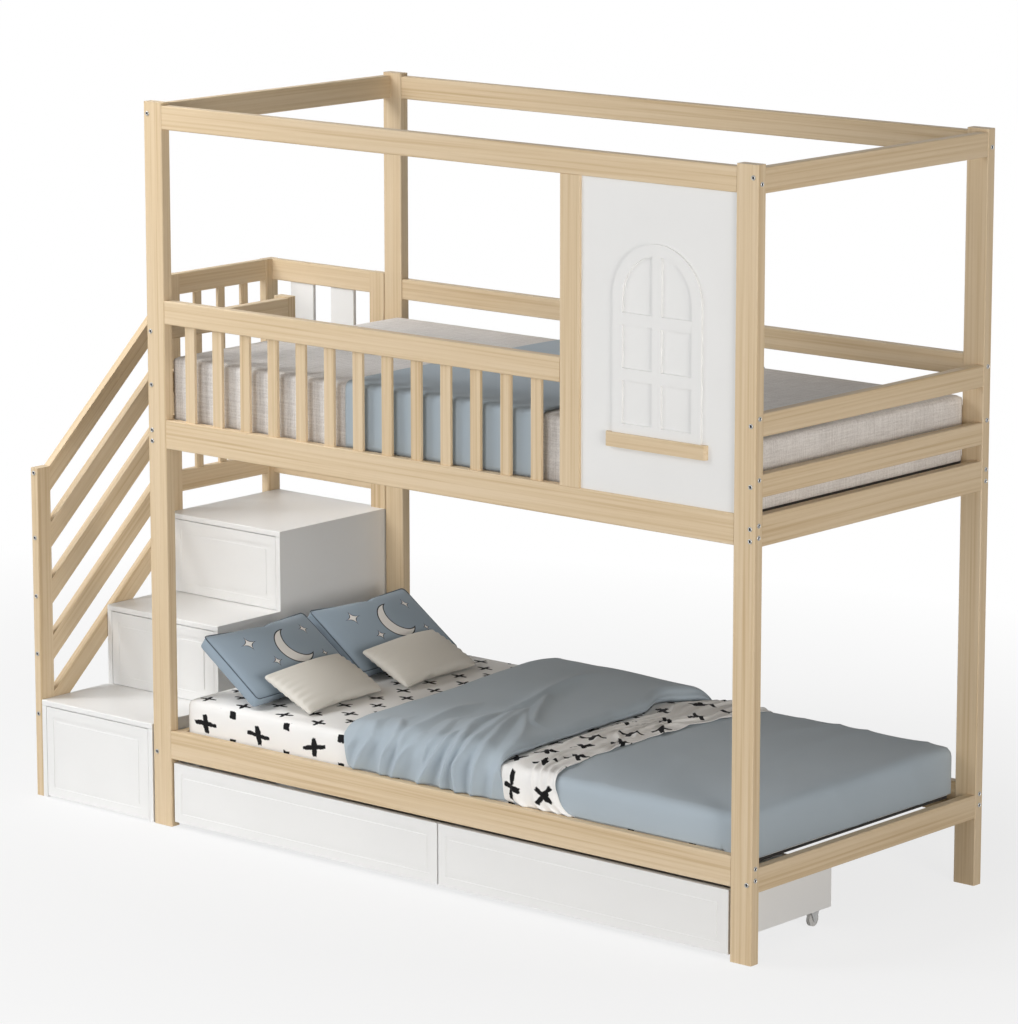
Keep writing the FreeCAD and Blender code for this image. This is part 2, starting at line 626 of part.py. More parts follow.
def bedding():
    """Both mattresses, with what lies on them."""
    upper = (UPPER_MATTRESS_SPAN, UPPER_DECK, UPPER_MATTRESS_HEIGHT)
    lower = (LOWER_MATTRESS_SPAN, LOWER_DECK, LOWER_MATTRESS_HEIGHT)
    upper_core = mattress(*upper, grow=SOFT_GAP)
    lower_core = mattress(*lower, grow=SOFT_GAP)
    lower_mattress = mattress(*lower)
    upper_shoulder = UPPER_DECK + UPPER_MATTRESS_HEIGHT + SOFT_GAP - MATTRESS_CROWN
    lower_shoulder = LOWER_DECK + LOWER_MATTRESS_HEIGHT + SOFT_GAP - MATTRESS_CROWN
    hem = LOWER_RAIL_TOP + HEM_GAP
    throw_left = UPPER_MATTRESS_SPAN[0] + THROW_START
    throw_x = (throw_left, throw_left + THROW_WIDTH)
    throw = flat_cover(throw_x, UPPER_RAIL_TOP + HEM_GAP, upper_shoulder, THROW_THICKNESS)
    duvet_left = LOWER_MATTRESS_SPAN[0] + DUVET_START
    duvet_x = (duvet_left, duvet_left + DUVET_WIDTH)
    turn_x = (duvet_x[1], duvet_x[1] + TURNBACK_WIDTH)
    duvet = folded_cover(duvet_x, hem, lower_shoulder)
    turnback = flat_cover(turn_x, hem, lower_shoulder, TURNBACK_THICKNESS)
    blanket = end_cover(turn_x[1], hem, LOWER_END_TOP + HEM_GAP, lower_shoulder)
    return {
        "upper_mattress": [mattress(*upper)],
        "lower_mattress": [lower_mattress],
        "upper_throw": [throw.cut(upper_core)],
        "duvet": [duvet.cut(lower_core), turnback.cut(lower_core)],
        "foot_blanket": [blanket.cut(lower_core)],
        **pillows_and_cushions(lower_mattress),
    }


def stair_cabinets():
    """Three stacked cabinets: sides, back and floor, with a tread slab over each."""
    names = ("lower", "middle", "upper")
    left_x = (STAIR_LEFT, STAIR_LEFT + STAIR_BOARD)
    right_x = (STAIR_RIGHT - STAIR_BOARD, STAIR_RIGHT)
    inner_x = (left_x[1], right_x[0])
    cabinets = {}
    treads = []
    floor = 0.0
    for name, top, front in zip(names, STEP_TOPS, STEP_FRONTS):
        z = (floor, top - STAIR_BOARD)
        depth = (front, STAIR_BACK)
        back_y = (STAIR_BACK - STAIR_BOARD, STAIR_BACK)
        walls = [block(x, depth, z) for x in (left_x, right_x)]
        walls.append(block(inner_x, back_y, z))
        cabinets[f"{name}_stair_cabinet"] = walls
        tread_z = below(top, STAIR_BOARD)
        treads.append(board(AXIS_X, (STAIR_LEFT, STAIR_RIGHT), depth, tread_z, EDGE_EASE))
        floor = top
    shelf_front = FRONT + STAIR_DRAWER_INSET + STAIR_DRAWER_GAP
    shelf_y = (shelf_front, STAIR_BACK - STAIR_BOARD)
    shelf = block(inner_x, shelf_y, (PLINTH_HEIGHT, PLINTH_HEIGHT + STAIR_BOARD))
    cabinets["lower_stair_cabinet"].append(shelf)
    return {**cabinets, "stair_treads": treads}


def stair_railing():
    """Railing on the open side of the stairs: a newel, slanted bars, then rails round the landing."""
    newel = board(AXIS_Z, RAILING_SPAN, (FRONT, FRONT + RAILING_POST_DEPTH), (0, NEWEL_HEIGHT))
    landing = STEP_TOPS[2]
    post_spans = (MID_POST_SPAN, CORNER_POST_SPAN)
    posts = [board(AXIS_Z, RAILING_SPAN, span, (0, RAILING_TOP)) for span in post_spans]
    posts.append(board(AXIS_Z, RAILING_END_SPAN, RAILING_BACK_SPAN, (landing, RAILING_TOP)))
    bar_x = centred(RAILING_CENTRE, RAILING_BOARD)
    bar_y = (FRONT + RAILING_POST_DEPTH, MID_POST_SPAN[0])
    rise = SLANT_BAR_SLOPE * (bar_y[1] - bar_y[0])
    bars = []
    for top in slant_bar_tops():
        corners = [
            Vector(bar_x[0], bar_y[0], top - SLANT_BAR_DEPTH),
            Vector(bar_x[0], bar_y[0], top),
            Vector(bar_x[0], bar_y[1], top + rise),
            Vector(bar_x[0], bar_y[1], top + rise - SLANT_BAR_DEPTH),
        ]
        bar = polygon_face(corners).extrude(AXIS_X * RAILING_BOARD)
        bars.append(bar)
    heights = [below(RAILING_TOP, RAILING_RAIL_HEIGHT), below(RAILING_LOWER_TOP, RAILING_RAIL_HEIGHT)]
    side_y = (MID_POST_SPAN[1], CORNER_POST_SPAN[0])
    back_x = (STAIR_LEFT, RAILING_END_SPAN[0])
    back_y = centred(sum(RAILING_BACK_SPAN) / 2, RAILING_BOARD)
    infill_z = (RAILING_LOWER_TOP, RAILING_TOP - RAILING_RAIL_HEIGHT)
    spindle_x = centred(RAILING_CENTRE, SPINDLE_THICKNESS)
    slat_y = centred(sum(back_y) / 2, BACK_SLAT_THICKNESS)
    return {
        "stair_newel_post": [newel],
        "stair_railing_posts": posts,
        "stair_slanted_bars": bars,
        "stair_side_rails": [board(AXIS_Y, bar_x, side_y, z) for z in heights],
        "stair_side_spindles": [
            board(AXIS_Z, spindle_x, y, infill_z, EDGE_EASE / 2)
            for y in even_spans(side_y[0], side_y[1], SIDE_SPINDLE_COUNT, SIDE_SPINDLE_WIDTH)
        ],
        "stair_back_rails": [board(AXIS_X, back_x, back_y, z) for z in heights],
        "stair_back_slats": [
            board(AXIS_Z, x, slat_y, infill_z, EDGE_EASE)
            for x in even_spans(back_x[0], back_x[1], BACK_SLAT_COUNT, BACK_SLAT_WIDTH)
        ],
    }


def routed_front(x, y, z):
    """A drawer front with a shallow groove routed round its face."""
    front = block(x, y, z)
    outer = [ROUTED_INSET, ROUTED_INSET + ROUTED_WIDTH]
    rings = [
        block((x[0] + inset, x[1] - inset), (y[0], y[0] + ROUTED_DEPTH), (z[0] + inset, z[1] - inset))
        for inset in outer
    ]
    return front.cut(rings[0].cut(rings[1]))


def tray(x, y, z):
    """Four boards behind a drawer front: two sides, a back and a base between them."""
    left = block((x[0], x[0] + TRAY_BOARD), y, z)
    right = block((x[1] - TRAY_BOARD, x[1]), y, z)
    inner_x = (x[0] + TRAY_BOARD, x[1] - TRAY_BOARD)
    back = block(inner_x, (y[1] - TRAY_BOARD, y[1]), z)
    base = block(inner_x, (y[0], y[1] - TRAY_BOARD), (z[0], z[0] + TRAY_BASE))
    return [left, right, back, base]


def stair_drawers():
    """Drawers behind the three risers, which run on the shelf or tread below them."""
    names = ("lower", "middle", "upper")
    floors = [PLINTH_HEIGHT + STAIR_BOARD, STEP_TOPS[0], STEP_TOPS[1]]
    drawers = {}
    for name, floor, top, front in zip(names, floors, STEP_TOPS, STEP_FRONTS):
        bottom = PLINTH_HEIGHT if name == "lower" else floor + STAIR_DRAWER_GAP
        reach = STAIR_BOARD + STAIR_DRAWER_GAP
        face_x = (STAIR_LEFT + reach, STAIR_RIGHT - reach)
        face_y = (front + STAIR_DRAWER_SETBACK, front + STAIR_DRAWER_INSET)
        face = routed_front(face_x, face_y, (bottom, top - STAIR_BOARD - STAIR_DRAWER_GAP))
        tray_x = (face_x[0] + STAIR_TRAY_CLEARANCE, face_x[1] - STAIR_TRAY_CLEARANCE)
        tray_y = (face_y[1], face_y[1] + STAIR_DRAWER_DEPTH)
        base = floor + RUNNING_GAP
        boards = tray(tray_x, tray_y, (base, base + STAIR_TRAY_HEIGHT))
        drawers[f"{name}_stair_drawer"] = [face] + boards
    return drawers


def wheel(x, y, z):
    """A caster wheel about an axis along X: sides that fall away from a bored hub to the tread."""
    half = WHEEL_WIDTH / 2
    bore = AXLE_RADIUS + AXLE_CLEARANCE
    web = half - WHEEL_RECESS
    profile = [
        (-half, bore),
        (-half, WHEEL_HUB_RADIUS),
        (-web, WHEEL_RADIUS),
        (web, WHEEL_RADIUS),
        (half, WHEEL_HUB_RADIUS),
        (half, bore),
    ]
    face = polygon_face([Vector(x + along, y, z + out) for along, out in profile])
    return face.revolve(Vector(x, y, z), AXIS_X, 360)


def caster_fork(x, y, axle, top):
    """A caster fork: a plate under the tray, two tapered cheeks and the axle between them."""
    half_gap = WHEEL_WIDTH / 2 + FORK_GAP
    half_width = half_gap + FORK_CHEEK
    plate = block(centred(x, 2 * half_width), centred(y, FORK_LENGTH), (top - FORK_PLATE, top))
    solid = plate
    for start in (x - half_width, x + half_gap):
        shoulder = top - FORK_PLATE
        eye = [
            Vector(start, y + FORK_EYE_RADIUS, axle),
            Vector(start, y, axle - FORK_EYE_RADIUS),
            Vector(start, y - FORK_EYE_RADIUS, axle),
        ]
        upper = [Vector(start, y - FORK_LENGTH / 2, shoulder), Vector(start, y + FORK_LENGTH / 2, shoulder)]
        edges = [
            Part.Arc(eye[0], eye[1], eye[2]).toShape(),
            Part.makeLine(eye[2], upper[0]),
            Part.makeLine(upper[0], upper[1]),
            Part.makeLine(upper[1], eye[0]),
        ]
        solid = solid.fuse(Part.Face(Part.Wire(edges)).extrude(AXIS_X * FORK_CHEEK))
    pin = Part.makeCylinder(AXLE_RADIUS, 2 * half_width, Vector(x - half_width, y, axle), AXIS_X)
    return solid.fuse(pin).removeSplitter()


def bed_drawers():
    """Two drawers side by side under the lower bunk, each rolling on four casters."""
    seam = (INNER_LEFT + INNER_RIGHT) / 2
    spans = {
        "left": (INNER_LEFT + DRAWER_SIDE_GAP, seam - DRAWER_SEAM / 2),
        "right": (seam + DRAWER_SEAM / 2, INNER_RIGHT - DRAWER_SIDE_GAP),
    }
    face_y = (FRONT + DRAWER_SETBACK, FRONT + DRAWER_SETBACK + DRAWER_FRONT_THICKNESS)
    face_z = (DRAWER_FLOOR_GAP, DRAWER_FRONT_TOP)
    tray_y = (face_y[1], face_y[1] + DRAWER_DEPTH)
    tray_z = (TRAY_FLOOR_GAP, DRAWER_FRONT_TOP - TRAY_TOP_DROP)
    rows = {"front": tray_y[0] + CASTER_FRONT_INSET, "back": tray_y[1] - CASTER_BACK_INSET}
    nodes = {}
    for side, x in spans.items():
        columns = (x[0] + CASTER_INSET, x[1] - CASTER_INSET)
        nodes[f"{side}_drawer_front"] = [routed_front(x, face_y, face_z)]
        nodes[f"{side}_drawer_tray"] = tray(x, tray_y, tray_z)
        nodes[f"{side}_drawer_caster_forks"] = [
            caster_fork(column, y, AXLE_HEIGHT, TRAY_FLOOR_GAP) for y in rows.values() for column in columns
        ]
        for row, y in rows.items():
            nodes[f"{side}_drawer_{row}_wheels"] = [wheel(column, y, AXLE_HEIGHT) for column in columns]
    return nodes


def build():
    """Every node of the bed, by name, as a list of its solids."""
    nodes = {}
    groups = (
        bed_posts, bed_rails, guards, house_front, decks, stair_cabinets, stair_railing, stair_drawers,
        bed_drawers, bedding,
    )
    for group in groups:
        nodes.update(group())
    return nodes


def main():
    """Write one file per node."""
    os.makedirs("parts", exist_ok=True)
    for name, solids in build().items():
        shape = solids[0] if len(solids) == 1 else Part.makeCompound(solids)
        shape.exportStep(f"parts/{name}.step")


main()
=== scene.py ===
"""Dresses a bunk bed with a canopy, a house-front panel, a storage staircase and rolling drawers.

Metres, +Z up. X runs along the bed, Y from its front to its back, and the stairs stand on the left.
"""
import logging
import math
from dataclasses import dataclass, field, replace
from enum import Enum
from typing import Callable, Iterable, Sequence, Union

import bmesh
import bpy
from mathutils import Matrix, Vector, noise


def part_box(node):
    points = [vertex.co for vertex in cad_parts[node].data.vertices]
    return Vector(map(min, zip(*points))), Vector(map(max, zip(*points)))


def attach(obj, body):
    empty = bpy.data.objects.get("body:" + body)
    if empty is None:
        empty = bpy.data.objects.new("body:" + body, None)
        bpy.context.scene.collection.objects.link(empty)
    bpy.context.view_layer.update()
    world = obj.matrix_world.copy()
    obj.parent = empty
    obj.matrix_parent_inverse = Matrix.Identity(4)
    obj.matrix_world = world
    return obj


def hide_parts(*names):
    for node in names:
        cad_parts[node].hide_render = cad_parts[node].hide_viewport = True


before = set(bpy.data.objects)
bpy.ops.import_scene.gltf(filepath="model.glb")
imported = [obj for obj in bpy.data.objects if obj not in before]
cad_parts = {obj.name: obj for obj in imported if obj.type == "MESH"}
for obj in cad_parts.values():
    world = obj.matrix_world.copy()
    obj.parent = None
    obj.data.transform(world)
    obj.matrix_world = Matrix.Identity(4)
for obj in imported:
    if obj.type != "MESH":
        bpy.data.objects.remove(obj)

LOG = logging.getLogger("bunk_bed")
BED = "bed"
Colour = tuple[float, float, float, float]
Operand = Union["Value", float]
WHITE: Colour = (1.0, 1.0, 1.0, 1.0)
HAIR = 1e-5


def tone(red: float, green: float, blue: float) -> Colour:
    """A colour picked on a screen, from 0 to 255, as the shader's linear values.

    Args:
        red: Red part.
        green: Green part.
        blue: Blue part.

    Returns:
        The linear colour with an alpha of 1.
    """
    parts = [part / 255 for part in (red, green, blue)]
    linear = [part / 12.92 if part < 0.04 else ((part + 0.055) / 1.055) ** 2.4 for part in parts]
    return (linear[0], linear[1], linear[2], 1.0)


def smooth_step(low: float, high: float, value: float) -> float:
    """A soft rise from 0 at low to 1 at high.

    Args:
        low: Where the rise starts.
        high: Where it ends.
        value: The place to look at.

    Returns:
        A share from 0 to 1.
    """
    share = min(max((value - low) / (high - low), 0.0), 1.0)
    return share * share * (3 - 2 * share)


@dataclass(frozen=True)
class Value:
    """A shader socket; arithmetic on it adds Math nodes to its graph."""

    graph: "Graph"
    socket: bpy.types.NodeSocket

    def math(self, operation: str, *others: Operand) -> "Value":
        """Add one Math node that starts from this socket.

        Args:
            operation: The Math node's operation.
            others: Its other inputs.

        Returns:
            The result.
        """
        inputs = dict(enumerate((self, *others)))
        return self.graph.add("ShaderNodeMath", {"operation": operation}, inputs)

    def _flipped(self, operation: str, other: float) -> "Value":
        """A Math node with a plain number first."""
        return self.graph.add("ShaderNodeMath", {"operation": operation}, {0: other, 1: self})

    def __add__(self, other: Operand) -> "Value":
        """Sum."""
        return self.math("ADD", other)

    __radd__ = __add__

    def __sub__(self, other: Operand) -> "Value":
        """Difference."""
        return self.math("SUBTRACT", other)

    def __rsub__(self, other: float) -> "Value":
        """Difference from a number."""
        return self._flipped("SUBTRACT", other)

    def __mul__(self, other: Operand) -> "Value":
        """Product."""
        return self.math("MULTIPLY", other)

    __rmul__ = __mul__

    def __truediv__(self, other: Operand) -> "Value":
        """Quotient."""
        return self.math("DIVIDE", other)

    def __rtruediv__(self, other: float) -> "Value":
        """Quotient of a number."""
        return self._flipped("DIVIDE", other)

    def __pow__(self, other: Operand) -> "Value":
        """Power."""
        return self.math("POWER", other)

    def __rpow__(self, other: float) -> "Value":
        """Power of a number."""
        return self._flipped("POWER", other)

    def __abs__(self) -> "Value":
        """Size without its sign."""
        return self.math("ABSOLUTE")

    def least(self, other: Operand) -> "Value":
        """The smaller of two values."""
        return self.math("MINIMUM", other)

    def most(self, other: Operand) -> "Value":
        """The larger of two values."""
        return self.math("MAXIMUM", other)

    def within(self, reach: Operand, soft: float) -> "Value":
        """1 where this is inside a reach and 0 outside, with a soft edge.

        Args:
            reach: Where the edge lies.
            soft: How wide the edge is.

        Returns:
            The mask.
        """
        return ((reach - self) / soft + 0.5).clamped()

    def clamped(self) -> "Value":
        """Kept between 0 and 1."""
        return self.graph.add("ShaderNodeClamp", {}, {0: self, 1: 0.0, 2: 1.0})

    def out(self, name: str) -> "Value":
        """Another output of the same node."""
        return Value(self.graph, self.socket.node.outputs[name])

    def parts(self) -> tuple["Value", "Value", "Value"]:
        """The three parts of a vector."""
        split = self.graph.add("ShaderNodeSeparateXYZ", {}, {0: self})
        return split, split.out("Y"), split.out("Z")


class Graph:
    """The nodes of one material or world."""

    def __init__(self, holder: Union[bpy.types.Material, bpy.types.World]) -> None:
        """Start without nodes.

        Args:
            holder: The new material or world.
        """
        holder.use_nodes = True
        self.holder = holder
        self.tree = holder.node_tree
        self.tree.nodes.clear()

    def add(self, kind: str, settings: dict, inputs: dict) -> Value:
        """Add any node.

        Args:
            kind: The node's type.
            settings: Its settings, set first; "stops" fills a colour ramp.
            inputs: Values or links of its sockets, by name or place.

        Returns:
            Its first output in use.
        """
        node = self.tree.nodes.new(kind)
        for name, setting in settings.items():
            if name == "stops":
                self._fill_ramp(node.color_ramp, setting)
            else:
                setattr(node, name, setting)
        shown = [socket for socket in node.inputs if socket.enabled]
        for key, content in inputs.items():
            socket = shown[key] if isinstance(key, int) else next(s for s in shown if s.name == key)
            if isinstance(content, Value):
                self.tree.links.new(content.socket, socket)
            else:
                socket.default_value = content
        outputs = [socket for socket in node.outputs if socket.enabled]
        return Value(self, outputs[0]) if outputs else None

    @staticmethod
    def _fill_ramp(ramp: bpy.types.ColorRamp, stops: Sequence[tuple[float, Colour]]) -> None:
        """Give a colour ramp its stops."""
        while len(ramp.elements) < len(stops):
            ramp.elements.new(1.0)
        for element, (place, colour) in zip(ramp.elements, stops):
            element.position = place
            element.color = colour

    def place(self, output: str = "Object") -> Value:
        """Coordinates of the surface: Object or UV."""
        return self.add("ShaderNodeTexCoord", {}, {}).out(output)

    def seen(self) -> Value:
        """1 for rays that find plain white: from the camera, mirrors and glass."""
        path = self.add("ShaderNodeLightPath", {}, {})
        return path.out("Is Camera Ray").most(path.out("Is Glossy Ray")).most(path.out("Is Transmission Ray"))

    def turned(self, vector: Value, rotation: Sequence[float], scale: Sequence[float]) -> Value:
        """A vector turned, then stretched along each axis.

        Args:
            vector: What to turn.
            rotation: Angles about X, Y and Z, in radians.
            scale: Stretch along each axis after the turn.

        Returns:
            The new vector.
        """
        mapped = self.add("ShaderNodeMapping", {}, {"Vector": vector, "Rotation": rotation})
        return self.add("ShaderNodeVectorMath", {"operation": "MULTIPLY"}, {0: mapped, 1: scale})

    def speckle(self, vector: Value, scale: float, detail: float = 2.0) -> Value:
        """Noise from 0 to 1.

        Args:
            vector: Where.
            scale: How fine.
            detail: How many finer layers it has.

        Returns:
            The noise.
        """
        return self.add("ShaderNodeTexNoise", {}, {"Vector": vector, "Scale": scale, "Detail": detail})

    def blend(self, share: Operand, first: Union[Value, Colour], second: Union[Value, Colour]) -> Value:
        """Mix two colours.

        Args:
            share: How much of the second shows.
            first: The first colour.
            second: The second colour.

        Returns:
            The mixed colour.
        """
        inputs = {"Factor": share, "A": first, "B": second}
        return self.add("ShaderNodeMix", {"data_type": "RGBA"}, inputs)

    def bump(self, height: Value, depth: float, strength: float = 1.0) -> Value:
        """A normal from a height.

        Args:
            height: From 0 to 1.
            depth: How deep the relief is, in metres.
            strength: How much of it shows.

        Returns:
            The normal.
        """
        return self.add("ShaderNodeBump", {}, {"Strength": strength, "Distance": depth, "Height": height})

    def surface(self, **sockets: Union[Value, Colour, float]) -> bpy.types.Material:
        """Close the material with a shader.

        Args:
            sockets: The shader's sockets, with spaces in their names written as underscores.

        Returns:
            The finished material.
        """
        inputs = {name.replace("_", " "): content for name, content in sockets.items()}
        shader = self.add("ShaderNodeBsdfPrincipled", {}, inputs)
        self.add("ShaderNodeOutputMaterial", {}, {"Surface": shader})
        return self.holder


class Finish:
    """What all finishes share: a name and a material that is made once."""

    def name(self) -> str:
        """The material's name."""
        return type(self).__name__

    def paint(self, graph: Graph) -> bpy.types.Material:
        """Fill the graph with the finish's nodes."""
        raise NotImplementedError

    def material(self) -> bpy.types.Material:
        """The finish's material."""
        made = bpy.data.materials.get(self.name())
        return made or self.paint(Graph(bpy.data.materials.new(self.name())))


@dataclass(frozen=True)
class TitledFinish(Finish):
    """A finish with a name of its own."""

    title: str

    def name(self) -> str:
        """The material's name."""
        return self.title


class Grain(Enum):
    """Which way a board's grain runs, as the turn that brings it on to X."""

    ALONG = (0.0, 0.0, 0.0)
    ACROSS = (0.0, 0.0, -math.pi / 2)
    UPRIGHT = (0.0, math.pi / 2, 0.0)
    SLANTED = (-math.atan(0.9), 0.0, -math.pi / 2)


@dataclass(frozen=True)
class Oak(Finish):
    """Pale lacquered wood with fine straight grain."""

    grain: Grain
    pale: Colour = tone(222, 201, 170)
    middle: Colour = tone(215, 192, 157)
    dark: Colour = tone(198, 171, 133)

    def name(self) -> str:
        """The material's name."""
        return f"oak_{self.grain.name.lower()}"

    def paint(self, graph: Graph) -> bpy.types.Material:
        """Fill the graph with bands, lines and pores that run along the grain."""
        place = graph.place()
        bands = graph.speckle(graph.turned(place, self.grain.value, (0.6, 24.0, 24.0)), 1.0, 2.0)
        lines = graph.speckle(graph.turned(place, self.grain.value, (1.6, 150.0, 150.0)), 1.0, 2.0)
        pores = graph.speckle(graph.turned(place, self.grain.value, (26.0, 520.0, 520.0)), 1.0, 1.0)
        figure = bands * 0.3 + lines * 0.7
        stops = ((0.3, self.dark), (0.46, self.middle), (0.62, self.pale))
        wood = graph.add("ShaderNodeValToRGB", {"stops": stops}, {0: figure})
        pored = graph.blend((pores - 0.6).most(0.0) * 1.4, wood, self.dark)
        return graph.surface(
            Base_Color=pored,
            Roughness=0.42 + lines * 0.16,
            Normal=graph.bump(lines * 0.6 + pores * 0.4, 0.0004, 0.35),
            Specular_IOR_Level=0.35,
        )


@dataclass(frozen=True)
class Lacquer(TitledFinish):
    """White satin paint on board, with a faint stipple."""

    white: Colour = tone(240, 240, 239)
    shade: Colour = tone(232, 232, 231)

    def paint(self, graph: Graph) -> bpy.types.Material:
        """Fill the graph with cloudy tone and a fine stipple."""
        place = graph.place()
        clouds = graph.speckle(place, 3.0, 2.0)
        stipple = graph.speckle(place, 420.0, 1.0)
        return graph.surface(
            Base_Color=graph.blend(clouds, self.white, self.shade),
            Roughness=0.36 + clouds * 0.1,
            Normal=graph.bump(stipple, 0.0002, 0.12),
            Specular_IOR_Level=0.4,
        )


@dataclass(frozen=True)
class Cotton(TitledFinish):
    """Woven cotton: fine threads in a bump, soft tone, a dry sheen."""

    light: Colour
    deep: Colour
    thread: float = 900.0
    slub: float = 0.25

    def weave(self, graph: Graph) -> tuple[Value, Value]:
        """Threads and slubs of the cloth.

        Args:
            graph: Where the nodes go.

        Returns:
            The fine thread relief and the slow tone, both from 0 to 1.
        """
        place = graph.place()
        runs = ((0.05, 1.0, 1.0), (1.0, 0.05, 1.0), (1.0, 1.0, 0.05))
        along, across, upright = (
            graph.speckle(graph.turned(place, (0, 0, 0), run), self.thread, 1.0) for run in runs
        )
        clouds = graph.speckle(place, 5.0, 3.0)
        return (along + across + upright) / 3.0, clouds

    def paint(self, graph: Graph) -> bpy.types.Material:
        """Fill the graph with the woven cloth."""
        threads, clouds = self.weave(graph)
        share = clouds * (1 - self.slub) + threads * self.slub
        return self.woven(graph, graph.blend(share, self.light, self.deep), threads)

    @staticmethod
    def woven(graph: Graph, colour: Value, threads: Value) -> bpy.types.Material:
        """Close the graph as dry cloth.

        Args:
            graph: Where the nodes go.
            colour: The cloth's colour.
            threads: The thread relief.

        Returns:
            The finished material.
        """
        return graph.surface(
            Base_Color=colour,
            Roughness=0.78 + threads * 0.16,
            Normal=graph.bump(threads, 0.0006, 0.25),
            Sheen_Weight=0.15,
            Specular_IOR_Level=0.2,
        )


@dataclass(frozen=True)
class Ticking(Cotton):
    """Grey mattress ticking with coarse, uneven threads."""

    thread: float = 260.0

    def paint(self, graph: Graph) -> bpy.types.Material:
        """Fill the graph with mottled linen threads."""
        threads, clouds = self.weave(graph)
        mottle = (threads - 0.5) * 2.6 + 0.5 + (clouds - 0.5) * 0.5
        return graph.surface(
            Base_Color=graph.blend(mottle.clamped(), self.light, self.deep),
            Roughness=0.85 + threads * 0.1,
            Normal=graph.bump(threads, 0.0012, 0.5),
            Specular_IOR_Level=0.15,
        )


@dataclass(frozen=True)
class Marks:
    """Size and spread of printed crosses, in metres on the cloth."""

    cell: tuple[float, float]
    start: tuple[float, float]
    flat_bar: tuple[float, float]
    tall_bar: tuple[float, float]
    stagger: float
    jitter: float
    spread: float


class Layout(Enum):
    """How the printed crosses lie on each part of the bedding."""

    SIDE = Marks((0.198, 0.132), (-0.733, 0.233), (0.041, 0.0066), (0.0255, 0.0105), 0.0, 0.04, 0.16)
    TOP = Marks((0.136, 0.0575), (-0.723, -0.440), (0.0265, 0.0060), (0.022, 0.0062), 0.5, 0.12, 0.4)
    LOOSE = Marks((0.112, 0.092), (0.0, 0.0), (0.036, 0.0076), (0.028, 0.0086), 0.5, 0.3, 2.6)


@dataclass(frozen=True)
class CrossPrint(Cotton):
    """White cotton printed with brushed crosses; the UV map is in metres."""

    layout: Layout = Layout.TOP
    ink: Colour = tone(20, 20, 22)
    patch: tuple[float, float] = (0.0115, 0.0105)
    patch_rows: tuple[float, float] = (0.262, 0.338)

    def crosses(self, graph: Graph, place: Value) -> Value:
        """Masks of the crosses, each turned and shifted a little in its own cell.

        Args:
            graph: Where the nodes go.
            place: The wobbled UV coordinates.

        Returns:
            1 on ink and 0 on cloth.
        """
        marks = self.layout.value
        wide, tall = marks.cell
        across, up, _ = place.parts()
        row = (up - marks.start[1]) / tall
        row_number = row.math("FLOOR")
        column = (across - marks.start[0]) / wide + row_number * marks.stagger
        column_number = column.math("FLOOR")
        cell = graph.add("ShaderNodeCombineXYZ", {}, {0: column_number, 1: row_number})
        chance = graph.add("ShaderNodeTexWhiteNoise", {"noise_dimensions": "2D"}, {"Vector": cell})
        first_chance, second_chance, third_chance = chance.out("Color").parts()
        local_x = (column - column_number - 0.5 + (first_chance - 0.5) * marks.jitter) * wide
        local_y = (row - row_number - 0.5 + (second_chance - 0.5) * marks.jitter) * tall
        turn = (third_chance - 0.5) * marks.spread
        cosine = turn.math("COSINE")
        sine = turn.math("SINE")
        along = local_x * cosine + local_y * sine
        off = local_y * cosine - local_x * sine
        flat_bar = self.stroke(along, off + along * (first_chance - 0.5) * 0.3, marks.flat_bar)
        tall_bar = self.stroke(off, along + off * (second_chance - 0.5) * 0.5, marks.tall_bar)
        return flat_bar.most(tall_bar)

    def stroke(self, along: Value, off: Value, bar: tuple[float, float]) -> Value:
        """One brush stroke, which thins towards its ends.

        Args:
            along: Distance along the stroke from its middle.
            off: Distance from its line.
            bar: Half its length and half its width.

        Returns:
            1 on the stroke and 0 off it.
        """
        length, width = bar
        share = along / length
        reach = (1 - share * share * 0.35) * width
        return abs(off).within(reach, 0.002) * abs(along).within(length, 0.003)

    def patches(self, place: Value) -> Value:
        """Masks of the small squares between the crosses of the sides.

        Args:
            place: The wobbled UV coordinates.

        Returns:
            1 on ink and 0 on cloth.
        """
        marks = self.layout.value
        across, up, _ = place.parts()
        column = (across - marks.start[0]) / marks.cell[0]
        local = (column - column.math("FLOOR")).math("PINGPONG", 0.5) * marks.cell[0]
        mask = local.within(self.patch[0], 0.002)
        rows = [abs(up - height).within(self.patch[1], 0.002) for height in self.patch_rows]
        return mask * rows[0].most(rows[1])

    def paint(self, graph: Graph) -> bpy.types.Material:
        """Fill the graph with printed cloth."""
        threads, clouds = self.weave(graph)
        cloth = graph.blend(clouds * 0.7 + threads * 0.3, self.light, self.deep)
        flat = graph.place("UV")
        wobble = graph.speckle(flat, 70.0)
        centred = graph.add(
            "ShaderNodeVectorMath", {"operation": "SUBTRACT"}, {0: wobble.out("Color"), 1: (0.5,) * 3}
        )
        settings = {"operation": "MULTIPLY_ADD"}
        place = graph.add("ShaderNodeVectorMath", settings, {0: centred, 1: (0.01,) * 3, 2: flat})
        marks = self.crosses(graph, place)
        if self.layout is Layout.SIDE:
            marks = marks.most(self.patches(place))
        return graph.surface(
            Base_Color=graph.blend(marks, cloth, self.ink),
            Roughness=0.8 + threads * 0.14,
            Normal=graph.bump(threads, 0.0006, 0.25),
            Specular_IOR_Level=0.2,
        )


